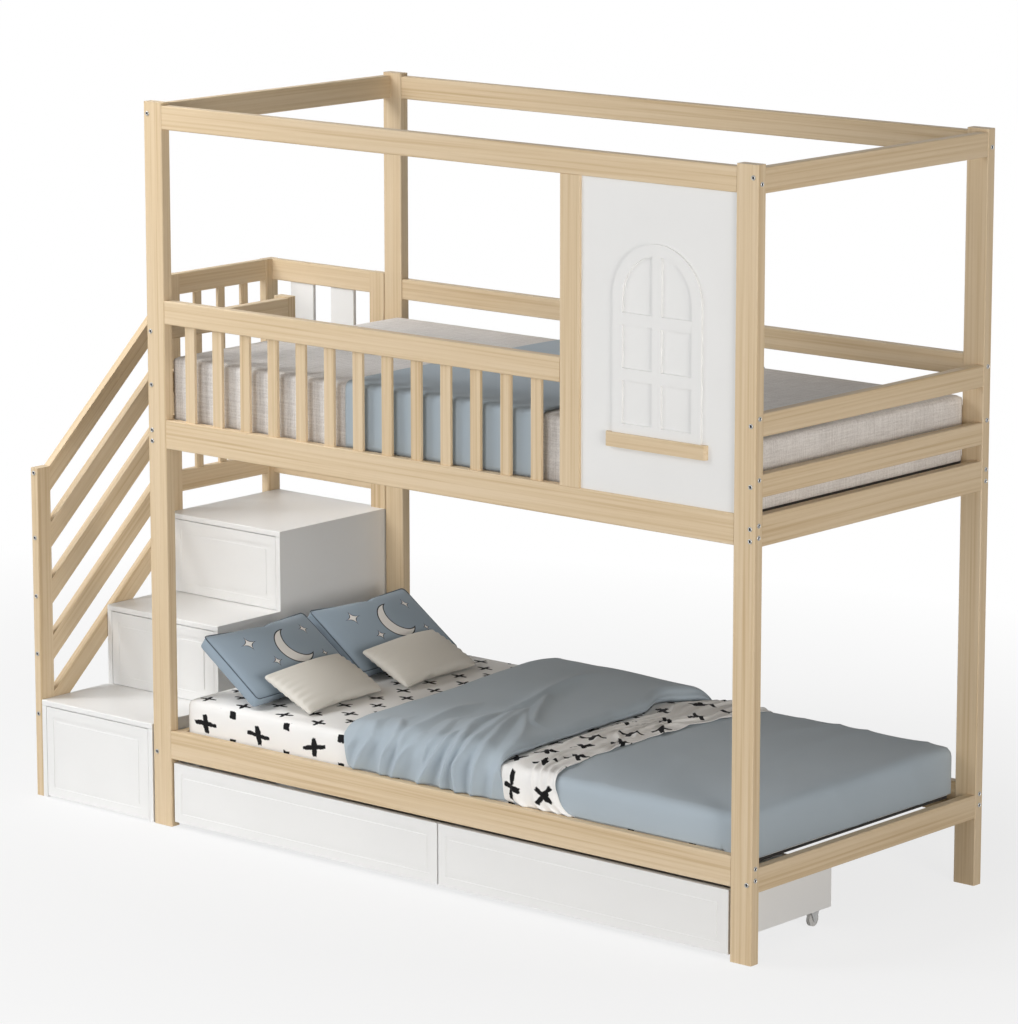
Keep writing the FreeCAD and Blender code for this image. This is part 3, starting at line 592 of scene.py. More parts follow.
@dataclass(frozen=True)
class NightPrint(Cotton):
    """Blue pillow cotton with a plain print of a moon and four-pointed stars on its front; UV in metres."""

    white: Colour = tone(236, 234, 230)
    ink: Colour = tone(34, 36, 40)
    outline: float = 0.0035
    soft: float = 0.0008
    moon: tuple[float, float, float] = (0.03, 0.0, 0.062)
    bite: tuple[float, float, float] = (0.058, 0.014, 0.052)
    stars: tuple[tuple[float, float, float], ...] = (
        (-0.105, 0.045, 0.030),
        (-0.062, -0.035, 0.022),
        (0.118, 0.052, 0.026),
        (0.125, -0.042, 0.018),
    )

    def print_depth(self, graph: Graph) -> Value:
        """Signed depth into the print, in metres, above 0 inside a motif.

        Args:
            graph: Where the nodes go.

        Returns:
            The depth.
        """
        across, up, _ = graph.place("UV").parts()

        def inside(disc: tuple[float, float, float]) -> Value:
            """Depth inside a disc, from its middle and radius."""
            return disc[2] - ((across - disc[0]) ** 2.0 + (up - disc[1]) ** 2.0) ** 0.5

        depth = inside(self.moon).least(0.0 - inside(self.bite))
        for middle_u, middle_v, reach in self.stars:
            spread = abs(across - middle_u) ** 0.5 + abs(up - middle_v) ** 0.5
            depth = depth.most((math.sqrt(reach) - spread) * math.sqrt(reach))
        return depth

    def paint(self, graph: Graph) -> bpy.types.Material:
        """Fill the graph with cloth and its print."""
        threads, clouds = self.weave(graph)
        cloth = graph.blend(clouds * 0.75 + threads * 0.25, self.light, self.deep)
        depth = self.print_depth(graph)
        outlined = graph.blend((0.0 - depth).within(0.0, self.soft), cloth, self.ink)
        printed = graph.blend((0.0 - depth).within(-self.outline, self.soft), outlined, self.white)
        return self.woven(graph, printed, threads)


@dataclass(frozen=True)
class Metal(TitledFinish):
    """Zinc-plated steel with a drawn sheen."""

    bright: Colour = tone(198, 198, 196)
    dull: Colour = tone(150, 150, 150)
    rough: float = 0.3

    def paint(self, graph: Graph) -> bpy.types.Material:
        """Fill the graph with clouded plating."""
        clouds = graph.speckle(graph.place(), 160.0, 3.0)
        return graph.surface(
            Base_Color=graph.blend(clouds, self.bright, self.dull),
            Metallic=1.0,
            Roughness=self.rough + clouds * 0.15,
            Normal=graph.bump(clouds, 0.0002, 0.2),
        )


@dataclass(frozen=True)
class Plastic(TitledFinish):
    """Moulded caster plastic, slightly scuffed."""

    colour: Colour = tone(205, 205, 203)
    scuffed: Colour = tone(172, 172, 170)

    def paint(self, graph: Graph) -> bpy.types.Material:
        """Fill the graph with scuffs."""
        scuffs = graph.speckle(graph.place(), 90.0, 4.0)
        share = (scuffs - 0.5).most(0.0) * 2.0
        return graph.surface(
            Base_Color=graph.blend(share, self.colour, self.scuffed),
            Roughness=0.4 + scuffs * 0.2,
            Normal=graph.bump(scuffs, 0.0003, 0.15),
        )


BLUE_COTTON = Cotton("dusty_blue_cotton", tone(180, 192, 201), tone(168, 181, 191))
# The pillows' blue is a darker copy of the duvet's blue: painted shade for the weaker light that falls on
# them
PILLOW_PRINT_PAINTED_SHADE = NightPrint("dusty_blue_pillow_print", tone(154, 169, 182), tone(142, 158, 172))
# The welt is the pillows' blue darkened: painted shade for the shadow groove along the seam
PIPING_PAINTED_SHADE = Cotton("dark_blue_piping", tone(92, 104, 114), tone(80, 92, 102))
CREAM_LINEN = Cotton("cream_linen", tone(248, 246, 238), tone(238, 236, 227), thread=420.0, slub=0.5)
GREY_TICKING = Ticking("grey_linen_ticking", tone(246, 243, 240), tone(206, 201, 197))
# Dark band on the mattresses' undersides: painted shade for the gap between each mattress and the end rails,
# not a cloth colour
UNDERSIDE_PAINTED_SHADE = Cotton("mattress_underside_felt", tone(62, 60, 58), tone(44, 43, 42), thread=300.0, slub=0.6)
SHEET_WHITE = tone(250, 249, 247)
SHEET_SHADE = tone(240, 239, 237)
SIDE_PRINT = CrossPrint("sheet_side_print", SHEET_WHITE, SHEET_SHADE, layout=Layout.SIDE)
TOP_PRINT = CrossPrint("sheet_top_print", SHEET_WHITE, SHEET_SHADE, layout=Layout.TOP)
BAND_PRINT = CrossPrint("band_print", SHEET_WHITE, SHEET_SHADE, layout=Layout.LOOSE)
STEEL = Metal("bolt_zinc")
# Dark grey on the socket floors: painted shadow for the recess in each bolt head
SOCKET_PAINTED_SHADOW = Metal("bolt_socket_shadow", tone(60, 60, 60), tone(34, 34, 34), 0.5)


def dress(names: Iterable[str], finish: Finish) -> None:
    """Give CAD nodes a finish.

    Args:
        names: The nodes.
        finish: Their finish.
    """
    for name in names:
        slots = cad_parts[name].data.materials
        slots.clear()
        slots.append(finish.material())
        LOG.info("dressed %s with %s", name, finish.name())


def linked(name: str, data: bpy.types.ID) -> bpy.types.Object:
    """Put a new object into the scene.

    Args:
        name: Its name.
        data: Its mesh, lamp or camera.

    Returns:
        The object, at the origin.
    """
    thing = bpy.data.objects.new(name, data)
    bpy.context.scene.collection.objects.link(thing)
    return thing


def add_piece(name: str, form: bmesh.types.BMesh, finishes: Sequence[Finish]) -> bpy.types.Object:
    """Make an object that rides on the bed.

    Args:
        name: The piece's name.
        form: Its shape, which is freed.
        finishes: Its finishes, in the order of its material numbers.

    Returns:
        The new object.
    """
    mesh = bpy.data.meshes.new(name)
    form.to_mesh(mesh)
    form.free()
    for polygon in mesh.polygons:
        polygon.use_smooth = True
    piece = linked(name, mesh)
    for finish in finishes:
        mesh.materials.append(finish.material())
    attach(piece, BED)
    LOG.info("made %s with %d faces", name, len(mesh.polygons))
    return piece


def smoothed(piece: bpy.types.Object) -> None:
    """Add a subdivision surface with equal levels."""
    modifier = piece.modifiers.new("rounding", "SUBSURF")
    modifier.levels = 1
    modifier.render_levels = 1


def thickened(piece: bpy.types.Object, thickness: float) -> None:
    """Give an open cloth its thickness, inwards."""
    modifier = piece.modifiers.new("cloth_thickness", "SOLIDIFY")
    modifier.thickness = thickness
    modifier.offset = -1.0


def gridded_box(low: Vector, high: Vector, spacing: float) -> bmesh.types.BMesh:
    """A box whose faces are divided into even squares.

    Args:
        low: Lowest corner.
        high: Highest corner.
        spacing: About how wide a square is.

    Returns:
        The form.
    """
    form = bmesh.new()
    size = high - low
    place = Matrix.Translation((low + high) / 2) @ Matrix.Diagonal((*size, 1.0))
    bmesh.ops.create_cube(form, size=1.0, matrix=place)
    for axis in range(3):
        lined = [
            edge
            for edge in form.edges
            if abs((edge.verts[0].co - edge.verts[1].co)[axis]) > 0.9 * size[axis]
        ]
        cuts = max(round(size[axis] / spacing) - 1, 1)
        bmesh.ops.subdivide_edges(form, edges=lined, cuts=cuts, use_grid_fill=True)
    return form


def cut_away(
    form: bmesh.types.BMesh, point: Sequence[float], outward: Sequence[float], drop: bool = True
) -> None:
    """Cut a form with a plane.

    Args:
        form: The form.
        point: A point on the plane.
        outward: The side that goes.
        drop: Whether what lies beyond the plane goes, or is only cut off.
    """
    geometry = form.verts[:] + form.edges[:] + form.faces[:]
    bmesh.ops.bisect_plane(form, geom=geometry, plane_co=point, plane_no=outward, clear_outer=drop)


def join(form: bmesh.types.BMesh, added: bmesh.types.BMesh) -> None:
    """Move one form into another.

    Args:
        form: The form that grows.
        added: The form that goes into it, which is freed.
    """
    shell = bpy.data.meshes.new("joined")
    added.to_mesh(shell)
    added.free()
    form.from_mesh(shell)
    bpy.data.meshes.remove(shell)


@dataclass(frozen=True)
class ClothRun:
    """One cloth simulation, whose result is applied to the mesh."""

    pressure: float
    tension: float
    bending: float
    shrink: float = 0.0
    frames: int = 20
    cap: float = 0.02
    quality: int = 6
    mass: float = 0.3

    def apply(self, piece: bpy.types.Object) -> None:
        """Run the simulation on a piece.

        Args:
            piece: The piece, whose mesh takes the result.
        """
        modifier = piece.modifiers.new("cloth", "CLOTH")
        cloth = modifier.settings
        cloth.quality = self.quality
        cloth.mass = self.mass
        cloth.use_pressure = True
        cloth.uniform_pressure_force = self.pressure
        cloth.tension_stiffness = self.tension
        cloth.compression_stiffness = self.tension
        cloth.shear_stiffness = self.tension / 2
        cloth.bending_stiffness = self.bending
        cloth.shrink_min = self.shrink
        cloth.effector_weights.gravity = 0.0
        modifier.collision_settings.use_collision = False
        modifier.point_cache.frame_start = 1
        modifier.point_cache.frame_end = self.frames
        scene = bpy.context.scene
        for step in range(1, self.frames + 1):
            scene.frame_set(step)
        shown = piece.evaluated_get(bpy.context.evaluated_depsgraph_get())
        ends = [vertex.co.copy() for vertex in shown.data.vertices]
        piece.modifiers.remove(modifier)
        for vertex, end in zip(piece.data.vertices, ends):
            move = end - vertex.co
            share = min(1.0, self.cap / max(move.length, 1e-9))
            vertex.co += move * share
        scene.frame_set(1)


@dataclass
class MattressForm:
    """A block with rounded edges and a flat crown, which covers can follow."""

    low: Vector
    high: Vector
    side_round: float = 0.012
    top_round: float = 0.022
    foot_round: float = 0.006
    crown: float = 0.006
    sag: float = 0.0
    deck: tuple[float, float] = (0.0, 0.0)
    sag_height: float = 0.07
    sag_reach: float = 0.03

    def swell(self, spot: Vector) -> float:
        """How far the crown lifts the top at a place; flat in the middle and 0 at the edges."""
        middle = (self.low + self.high) / 2
        half = (self.high - self.low) / 2
        across = abs(spot.y - middle.y) / half.y
        along = abs(spot.x - middle.x) / half.x
        return self.crown * max(1 - across**8, 0.0) * max(1 - along**20, 0.0)

    def mesh(self, grow: float, spacing: float) -> bmesh.types.BMesh:
        """The block's surface, swollen by a distance.

        Args:
            grow: How far it stands out.
            spacing: About how wide its squares are.

        Returns:
            The form.
        """
        reach = Vector((grow, grow, grow))
        body_high = self.high - Vector((0, 0, self.crown))
        form = gridded_box(self.low - reach, body_high + reach, spacing)
        inner_low = self.low + Vector((self.side_round, self.side_round, self.foot_round))
        inner_high = body_high - Vector((self.side_round, self.side_round, self.top_round))
        for vertex in form.verts:
            kept = Vector(
                min(max(vertex.co[axis], inner_low[axis]), inner_high[axis]) for axis in range(3)
            )
            away = vertex.co - kept
            upright = self.top_round if away.z > 0 else self.foot_round
            radii = Vector((self.side_round + grow, self.side_round + grow, upright + grow))
            share = Vector(part / radius for part, radius in zip(away, radii))
            if share.length > 1e-9:
                share.normalize()
                vertex.co = kept + Vector(part * radius for part, radius in zip(share, radii))
            if vertex.co.z > inner_high.z:
                vertex.co.z += self.swell(vertex.co)
            beyond = max(self.deck[0] - vertex.co.x, vertex.co.x - self.deck[1])
            lowness = 1 - smooth_step(self.low.z, self.low.z + self.sag_height, vertex.co.z)
            vertex.co.z -= self.sag * lowness * smooth_step(0.0, self.sag_reach, beyond)
        return form


def line_underside(form: bmesh.types.BMesh, level: float, number: int) -> None:
    """Give all of a mattress below a level its underside's finish, a dark band of painted shade for the gap
    under the mattress.

    Args:
        form: The mattress.
        level: Height of the line.
        number: The finish's number.
    """
    cut_away(form, (0, 0, level), (0, 0, 1), drop=False)
    for face in form.faces:
        if face.calc_center_median().z < level:
            face.material_index = number


def sheet_map(form: bmesh.types.BMesh) -> None:
    """Lay a flat map in metres on each side of a mattress; the top takes the second finish.

    Args:
        form: The mattress.
    """
    layer = form.loops.layers.uv.new("print")
    form.normal_update()
    for face in form.faces:
        normal = face.normal
        faces_up = normal.z > 0.6
        face.material_index = 1 if faces_up else 0
        for loop in face.loops:
            spot = loop.vert.co
            if faces_up:
                loop[layer].uv = (spot.x, spot.y)
            elif abs(normal.y) >= abs(normal.x):
                loop[layer].uv = (spot.x, spot.z)
            else:
                loop[layer].uv = (spot.y, spot.z)


class WoodFrame:
    """The oak boards: posts, rails, guards, sill, slats and the stair railing."""

    boards: dict[Grain, tuple[str, ...]] = {
        Grain.ALONG: (
            "canopy_front_rail", "canopy_back_rail", "upper_front_rail", "upper_back_rail",
            "lower_front_rail", "lower_back_rail", "front_guard_rail", "back_guard_rails",
            "window_sill", "slat_ledgers", "stair_back_rails",
        ),
        Grain.ACROSS: (
            "canopy_end_rails", "upper_end_rails", "lower_end_rails", "end_guard_rails",
            "entry_guard_rails", "upper_slats", "lower_slats", "stair_side_rails",
        ),
        Grain.UPRIGHT: (
            "front_left_post", "front_right_post", "back_left_post", "back_right_post", "panel_post",
            "front_guard_spindles", "entry_guard_post", "stair_newel_post", "stair_railing_posts",
            "stair_side_spindles",
        ),
        Grain.SLANTED: ("stair_slanted_bars",),
    }

    def build(self) -> None:
        """Dress each board with the grain that runs along it."""
        for grain, names in self.boards.items():
            dress(names, Oak(grain))


class PaintedPanels:
    """The white boards: house front, stair cabinets and drawers."""

    names: tuple[str, ...] = (
        "house_panel", "window_trim", "stair_back_slats", "lower_stair_cabinet", "middle_stair_cabinet",
        "upper_stair_cabinet", "stair_treads", "lower_stair_drawer", "middle_stair_drawer",
        "upper_stair_drawer", "left_drawer_front", "left_drawer_tray", "right_drawer_front",
        "right_drawer_tray",
    )

    def build(self) -> None:
        """Paint them all."""
        dress(self.names, Lacquer("white_satin_paint"))


class Casters:
    """The casters under the two rolling drawers."""

    forks: tuple[str, ...] = ("left_drawer_caster_forks", "right_drawer_caster_forks")
    wheels: tuple[str, ...] = (
        "left_drawer_front_wheels", "left_drawer_back_wheels", "right_drawer_front_wheels",
        "right_drawer_back_wheels",
    )

    def build(self) -> None:
        """Dress forks and wheels."""
        dress(self.forks, Metal("caster_fork_steel"))
        dress(self.wheels, Plastic("caster_wheel_plastic"))


@dataclass
class BoltHeads:
    """Socket bolt heads on the posts, where rails and guards are fastened."""

    radius: float = 0.0062
    height: float = 0.0024
    socket: float = 0.0040
    segments: int = 18
    dome_share: float = 0.6
    sunk_share: float = 0.7
    inset: float = 0.0145
    long_rail_heights: tuple[float, ...] = (1.9325, 1.103, 1.073, 0.245, 0.215)
    end_rail_heights: tuple[float, ...] = (1.9485, 1.095, 1.065, 0.2045)
    back_guard_heights: tuple[float, ...] = (1.3705, 1.2315)
    end_guard_heights: tuple[float, ...] = (1.3475, 1.1985)
    entry_guard_heights: tuple[float, ...] = (1.3635, 1.2185)
    panel_heights: tuple[float, ...] = (1.365, 1.215)
    front_guard_height: float = 1.4185
    railing_foot: float = 0.7
    newel_heights: tuple[float, ...] = (0.918, 0.735, 0.570, 0.406, 0.235)

    def places(self) -> list[tuple[Vector, Vector]]:
        """Where each head sits and which way it faces."""
        low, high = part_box("front_left_post")[0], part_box("back_right_post")[1]
        railing_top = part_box("stair_railing_posts")[1].z
        found: list[tuple[Vector, Vector]] = []
        for face_x, way in ((low.x, -1.0), (high.x, 1.0)):
            for y, is_front in ((low.y + self.inset, True), (high.y - self.inset, False)):
                heights = list(self.long_rail_heights)
                if not is_front:
                    heights += self.back_guard_heights
                elif way > 0:
                    heights += self.panel_heights
                else:
                    heights.append(self.front_guard_height)
                for z in heights:
                    behind_railing = way < 0 and not is_front and self.railing_foot < z < railing_top
                    if not behind_railing:
                        found.append((Vector((face_x, y, z)), Vector((way, 0, 0))))
        for face_y, way in ((low.y, -1.0), (high.y, 1.0)):
            for x, is_right in ((low.x + self.inset, False), (high.x - self.inset, True)):
                heights = list(self.end_rail_heights)
                if is_right:
                    heights += self.end_guard_heights
                elif way < 0:
                    heights += self.entry_guard_heights
                found += [(Vector((x, face_y, z)), Vector((0, way, 0))) for z in heights]
        newel_low, newel_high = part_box("stair_newel_post")
        newel_x = (newel_low.x + newel_high.x) / 2
        found += [(Vector((newel_x, newel_low.y, z)), Vector((0, -1, 0))) for z in self.newel_heights]
        return found

    def build(self) -> None:
        """Make all heads as one piece."""
        form = bmesh.new()
        for spot, facing in self.places():
            self.add_head(form, spot, facing)
        add_piece("bolt_heads", form, (STEEL, SOCKET_PAINTED_SHADOW))

    def add_head(self, form: bmesh.types.BMesh, spot: Vector, facing: Vector) -> None:
        """Add one domed head with a hexagon socket.

        Args:
            form: The form that it goes into.
            spot: The middle of its seat.
            facing: The way that it faces.
        """
        head = bmesh.new()
        bmesh.ops.create_circle(head, cap_ends=True, segments=self.segments, radius=self.radius)
        base = head.faces[:]
        raised = bmesh.ops.extrude_face_region(head, geom=base)["geom"]
        top = next(item for item in raised if isinstance(item, bmesh.types.BMFace))
        bmesh.ops.translate(head, verts=top.verts[:], vec=(0, 0, self.height))
        rounding = self.height * self.dome_share
        bmesh.ops.bevel(
            head, geom=top.edges[:], offset=rounding, segments=3, profile=0.5, affect="EDGES", material=-1
        )
        head.faces.ensure_lookup_table()
        top = max(head.faces, key=lambda face: face.calc_center_median().z + face.calc_area())
        bmesh.ops.inset_region(head, faces=[top], thickness=self.radius - rounding - self.socket)
        sunk = bmesh.ops.extrude_face_region(head, geom=[top])["geom"]
        floor = next(item for item in sunk if isinstance(item, bmesh.types.BMFace))
        bmesh.ops.translate(head, verts=floor.verts[:], vec=(0, 0, -self.height * self.sunk_share))
        bmesh.ops.delete(head, geom=[top], context="FACES")
        # The socket's floor takes the second finish, painted shadow in the recess
        floor.material_index = 1
        turn = Vector((0, 0, 1)).rotation_difference(facing).to_matrix().to_4x4()
        bmesh.ops.transform(head, matrix=Matrix.Translation(spot) @ turn, verts=head.verts[:])
        bmesh.ops.recalc_face_normals(head, faces=head.faces[:])
        join(form, head)


@dataclass
class UpperBedding:
    """The upper bunk's grey mattress and the blue throw across it."""

    spacing: float = 0.013
    throw_lift: float = 0.007
    cloth: float = 0.004
    side_round: float = 0.008
    side_wave: float = 0.0026
    top_wave: float = 0.0016
    wave_depth: float = 0.1
    top_round: float = 0.014
    crown: float = 0.003
    sag: float = 0.008
    foot_line: float = 0.003

    def build(self) -> None:
        """Make the mattress, then the throw."""
        low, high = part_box("upper_mattress")
        deck_low, deck_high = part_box("upper_slats")
        deck = (deck_low.x, deck_high.x)
        block = MattressForm(
            low, high, self.side_round, self.top_round, crown=self.crown, sag=self.sag, deck=deck
        )
        form = block.mesh(0.0, self.spacing)
        # The strip below the foot line takes the painted shade of the gap under the mattress
        line_underside(form, low.z + self.foot_line, 1)
        mattress = add_piece("upper_mattress_ticking", form, (GREY_TICKING, UNDERSIDE_PAINTED_SHADE))
        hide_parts("upper_mattress")
        throw_low, throw_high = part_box("upper_throw")
        form = block.mesh(self.throw_lift, self.spacing)
        cut_away(form, (throw_low.x, 0, 0), (-1, 0, 0))
        cut_away(form, (throw_high.x, 0, 0), (1, 0, 0))
        cut_away(form, (0, 0, throw_low.z), (0, 0, -1))
        self.ruffle(form, block)
        throw = add_piece("throw_cloth", form, (BLUE_COTTON,))
        thickened(throw, self.cloth)
        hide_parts("upper_throw")

    def ruffle(self, form: bmesh.types.BMesh, block: MattressForm) -> None:
        """Push soft upright waves into the throw's sides and a slow swell into its top.

        Args:
            form: The throw.
            block: The mattress under it.
        """
        middle = (block.low.y + block.high.y) / 2
        for vertex in form.verts:
            spot = vertex.co
            depth = min(max((block.high.z - spot.z) / self.wave_depth, 0.0), 1.0)
            wave = noise.noise(Vector((spot.x * 14.0, spot.z * 2.5, spot.y)))
            outward = 1.0 if spot.y > middle else -1.0
            spot.y += outward * self.side_wave * depth * wave
            spot.z += self.top_wave * (1 - depth) * noise.noise(spot * 6.0)


@dataclass
class CoverPath:
    """The line that a cover follows across a mattress, from its front hem to its back hem."""

    block: MattressForm
    hem: float

    def __post_init__(self) -> None:
        """Work out the lengths of the sides, shoulders and top."""
        block = self.block
        self.shoulder = block.high.z - block.crown - block.top_round
        self.side = self.shoulder - self.hem
        self.bend = math.hypot(block.side_round, block.top_round) / math.sqrt(2) * math.pi / 2
        self.top = block.high.y - block.low.y - 2 * block.side_round
        self.length = 2 * self.side + 2 * self.bend + self.top

    def at(self, distance: float, lift: float) -> tuple[float, float]:
        """A point over the mattress.

        Args:
            distance: How far along the line.
            lift: How far above the mattress.

        Returns:
            Its Y and Z.
        """
        block = self.block
        is_back = distance > self.length / 2
        along = self.length - distance if is_back else distance
        if along < self.side:
            inward, height = -lift, self.hem + along
        elif along < self.side + self.bend:
            angle = (along - self.side) / self.bend * math.pi / 2
            inward = block.side_round - (block.side_round + lift) * math.cos(angle)
            height = self.shoulder + (block.top_round + lift) * math.sin(angle)
        else:
            inward = block.side_round + along - self.side - self.bend
            height = self.shoulder + block.top_round + lift
        y = block.high.y - inward if is_back else block.low.y + inward
        if height > self.shoulder:
            height += block.swell(Vector(((block.low.x + block.high.x) / 2, y, height)))
        return y, height


@dataclass
class BowedEdge:
    """An edge of a cover that starts at one X at both hems and bows to the left across the top."""

    front: float
    back: float
    bow: float
    ripple: float = 0.0
    dip: float = 0.0
    dip_place: float = 0.79
    dip_width: float = 0.07
    bow_power: float = 0.4

    def at(self, share: float) -> float:
        """X at a share of the cover's length; the dip lies near the back."""
        straight = self.front + (self.back - self.front) * share
        wave = self.ripple * noise.noise(Vector((share * 17.0, self.front * 9.0, 0.5)))
        pulled = self.dip * math.exp(-(((share - self.dip_place) / self.dip_width) ** 2))
        return straight + wave - pulled - self.bow * max(math.sin(math.pi * share), 0.0) ** self.bow_power


# Where the duvet turns from its front side on to the top, as distances from the front hem
SHOULDER = (0.06, 0.2)
# How round the crest of a fold is, as a share of its width
CREST = 0.25


@dataclass(frozen=True)
class Fold:
    """A ridge in a cover: points of its line as X and distance from the front hem, in metres."""

    line: tuple[tuple[float, float], ...]
    height: float = 0.011
    left: float = 0.028
    right: float = 0.016
    fade: float = 0.13

    def place(self, distance: float) -> float:
        """X of the ridge's line at a distance from the hem, on a smooth curve through its points."""
        knots = self.line
        last = len(knots) - 1
        index = sum(1 for knot in knots[1:-1] if knot[1] <= distance)
        before, start = knots[max(index - 1, 0)], knots[index]
        end, after = knots[index + 1], knots[min(index + 2, last)]
        span = end[1] - start[1]
        share = min(max((distance - start[1]) / span, 0.0), 1.0)
        slope_start = (end[0] - before[0]) / (end[1] - before[1]) * span
        slope_end = (after[0] - start[0]) / (after[1] - start[1]) * span
        square, cube = share * share, share**3
        return (
            (2 * cube - 3 * square + 1) * start[0]
            + (cube - 2 * square + share) * slope_start
            + (3 * square - 2 * cube) * end[0]
            + (cube - square) * slope_end
        )

    def at(self, x: float, distance: float) -> float:
        """The ridge's height at a place.

        Args:
            x: Place along the bed.
            distance: Distance from the front hem.

        Returns:
            Metres above the cover.
        """
        first, last = self.line[0][1], self.line[-1][1]
        if not first - self.fade < distance < last + self.fade:
            return 0.0
        rise = smooth_step(first - self.fade, first + self.fade * 0.4, distance)
        fall = 1 - smooth_step(last - self.fade * 0.6, last + self.fade, distance)
        off = x - self.place(distance)
        on_top = smooth_step(*SHOULDER, distance)
        width = (self.right if off > 0 else self.left) * (0.65 + 0.85 * on_top)
        height = self.height * (1.2 - 0.35 * on_top)
        return height * rise * fall * math.exp(CREST - math.hypot(off / width, CREST))


DUVET_FOLDS = (
    Fold(((-0.075, 0.0), (-0.05, 0.045), (-0.02, 0.09), (-0.045, 0.14)), 0.010),
    Fold(((-0.10, 0.05), (-0.08, 0.08), (-0.075, 0.11)), 0.007),
    Fold(((0.02, 0.01), (0.035, 0.055), (0.06, 0.1), (0.005, 0.18)), 0.011),
    Fold(((0.06, 0.0), (0.09, 0.055), (0.125, 0.1)), 0.010),
    Fold(((0.085, 0.1), (0.09, 0.155), (0.06, 0.27), (0.035, 0.37)), 0.012),
    Fold(((0.155, 0.0), (0.185, 0.045), (0.215, 0.1), (0.215, 0.19)), 0.012),
    Fold(((0.165, 0.09), (0.175, 0.13), (0.115, 0.255)), 0.009),
    Fold(((0.235, 0.02), (0.265, 0.09), (0.26, 0.13), (0.195, 0.245), (0.175, 0.355)), 0.014),
    Fold(((0.29, 0.0), (0.285, 0.06), (0.305, 0.1), (0.285, 0.185), (0.235, 0.315), (0.19, 0.405)), 0.015),
    Fold(((0.34, 0.0), (0.355, 0.09), (0.345, 0.135), (0.265, 0.285), (0.195, 0.45)), 0.013),
    Fold(((0.17, 0.41), (0.16, 0.5), (0.12, 0.635), (0.095, 0.755)), 0.016, 0.03, 0.014),
    Fold(((0.425, 0.13), (0.34, 0.27), (0.205, 0.435)), 0.011),
    Fold(((0.295, 0.36), (0.21, 0.48), (0.135, 0.605)), 0.012),
    Fold(((0.40, 0.0), (0.41, 0.06), (0.43, 0.1)), 0.007),
)


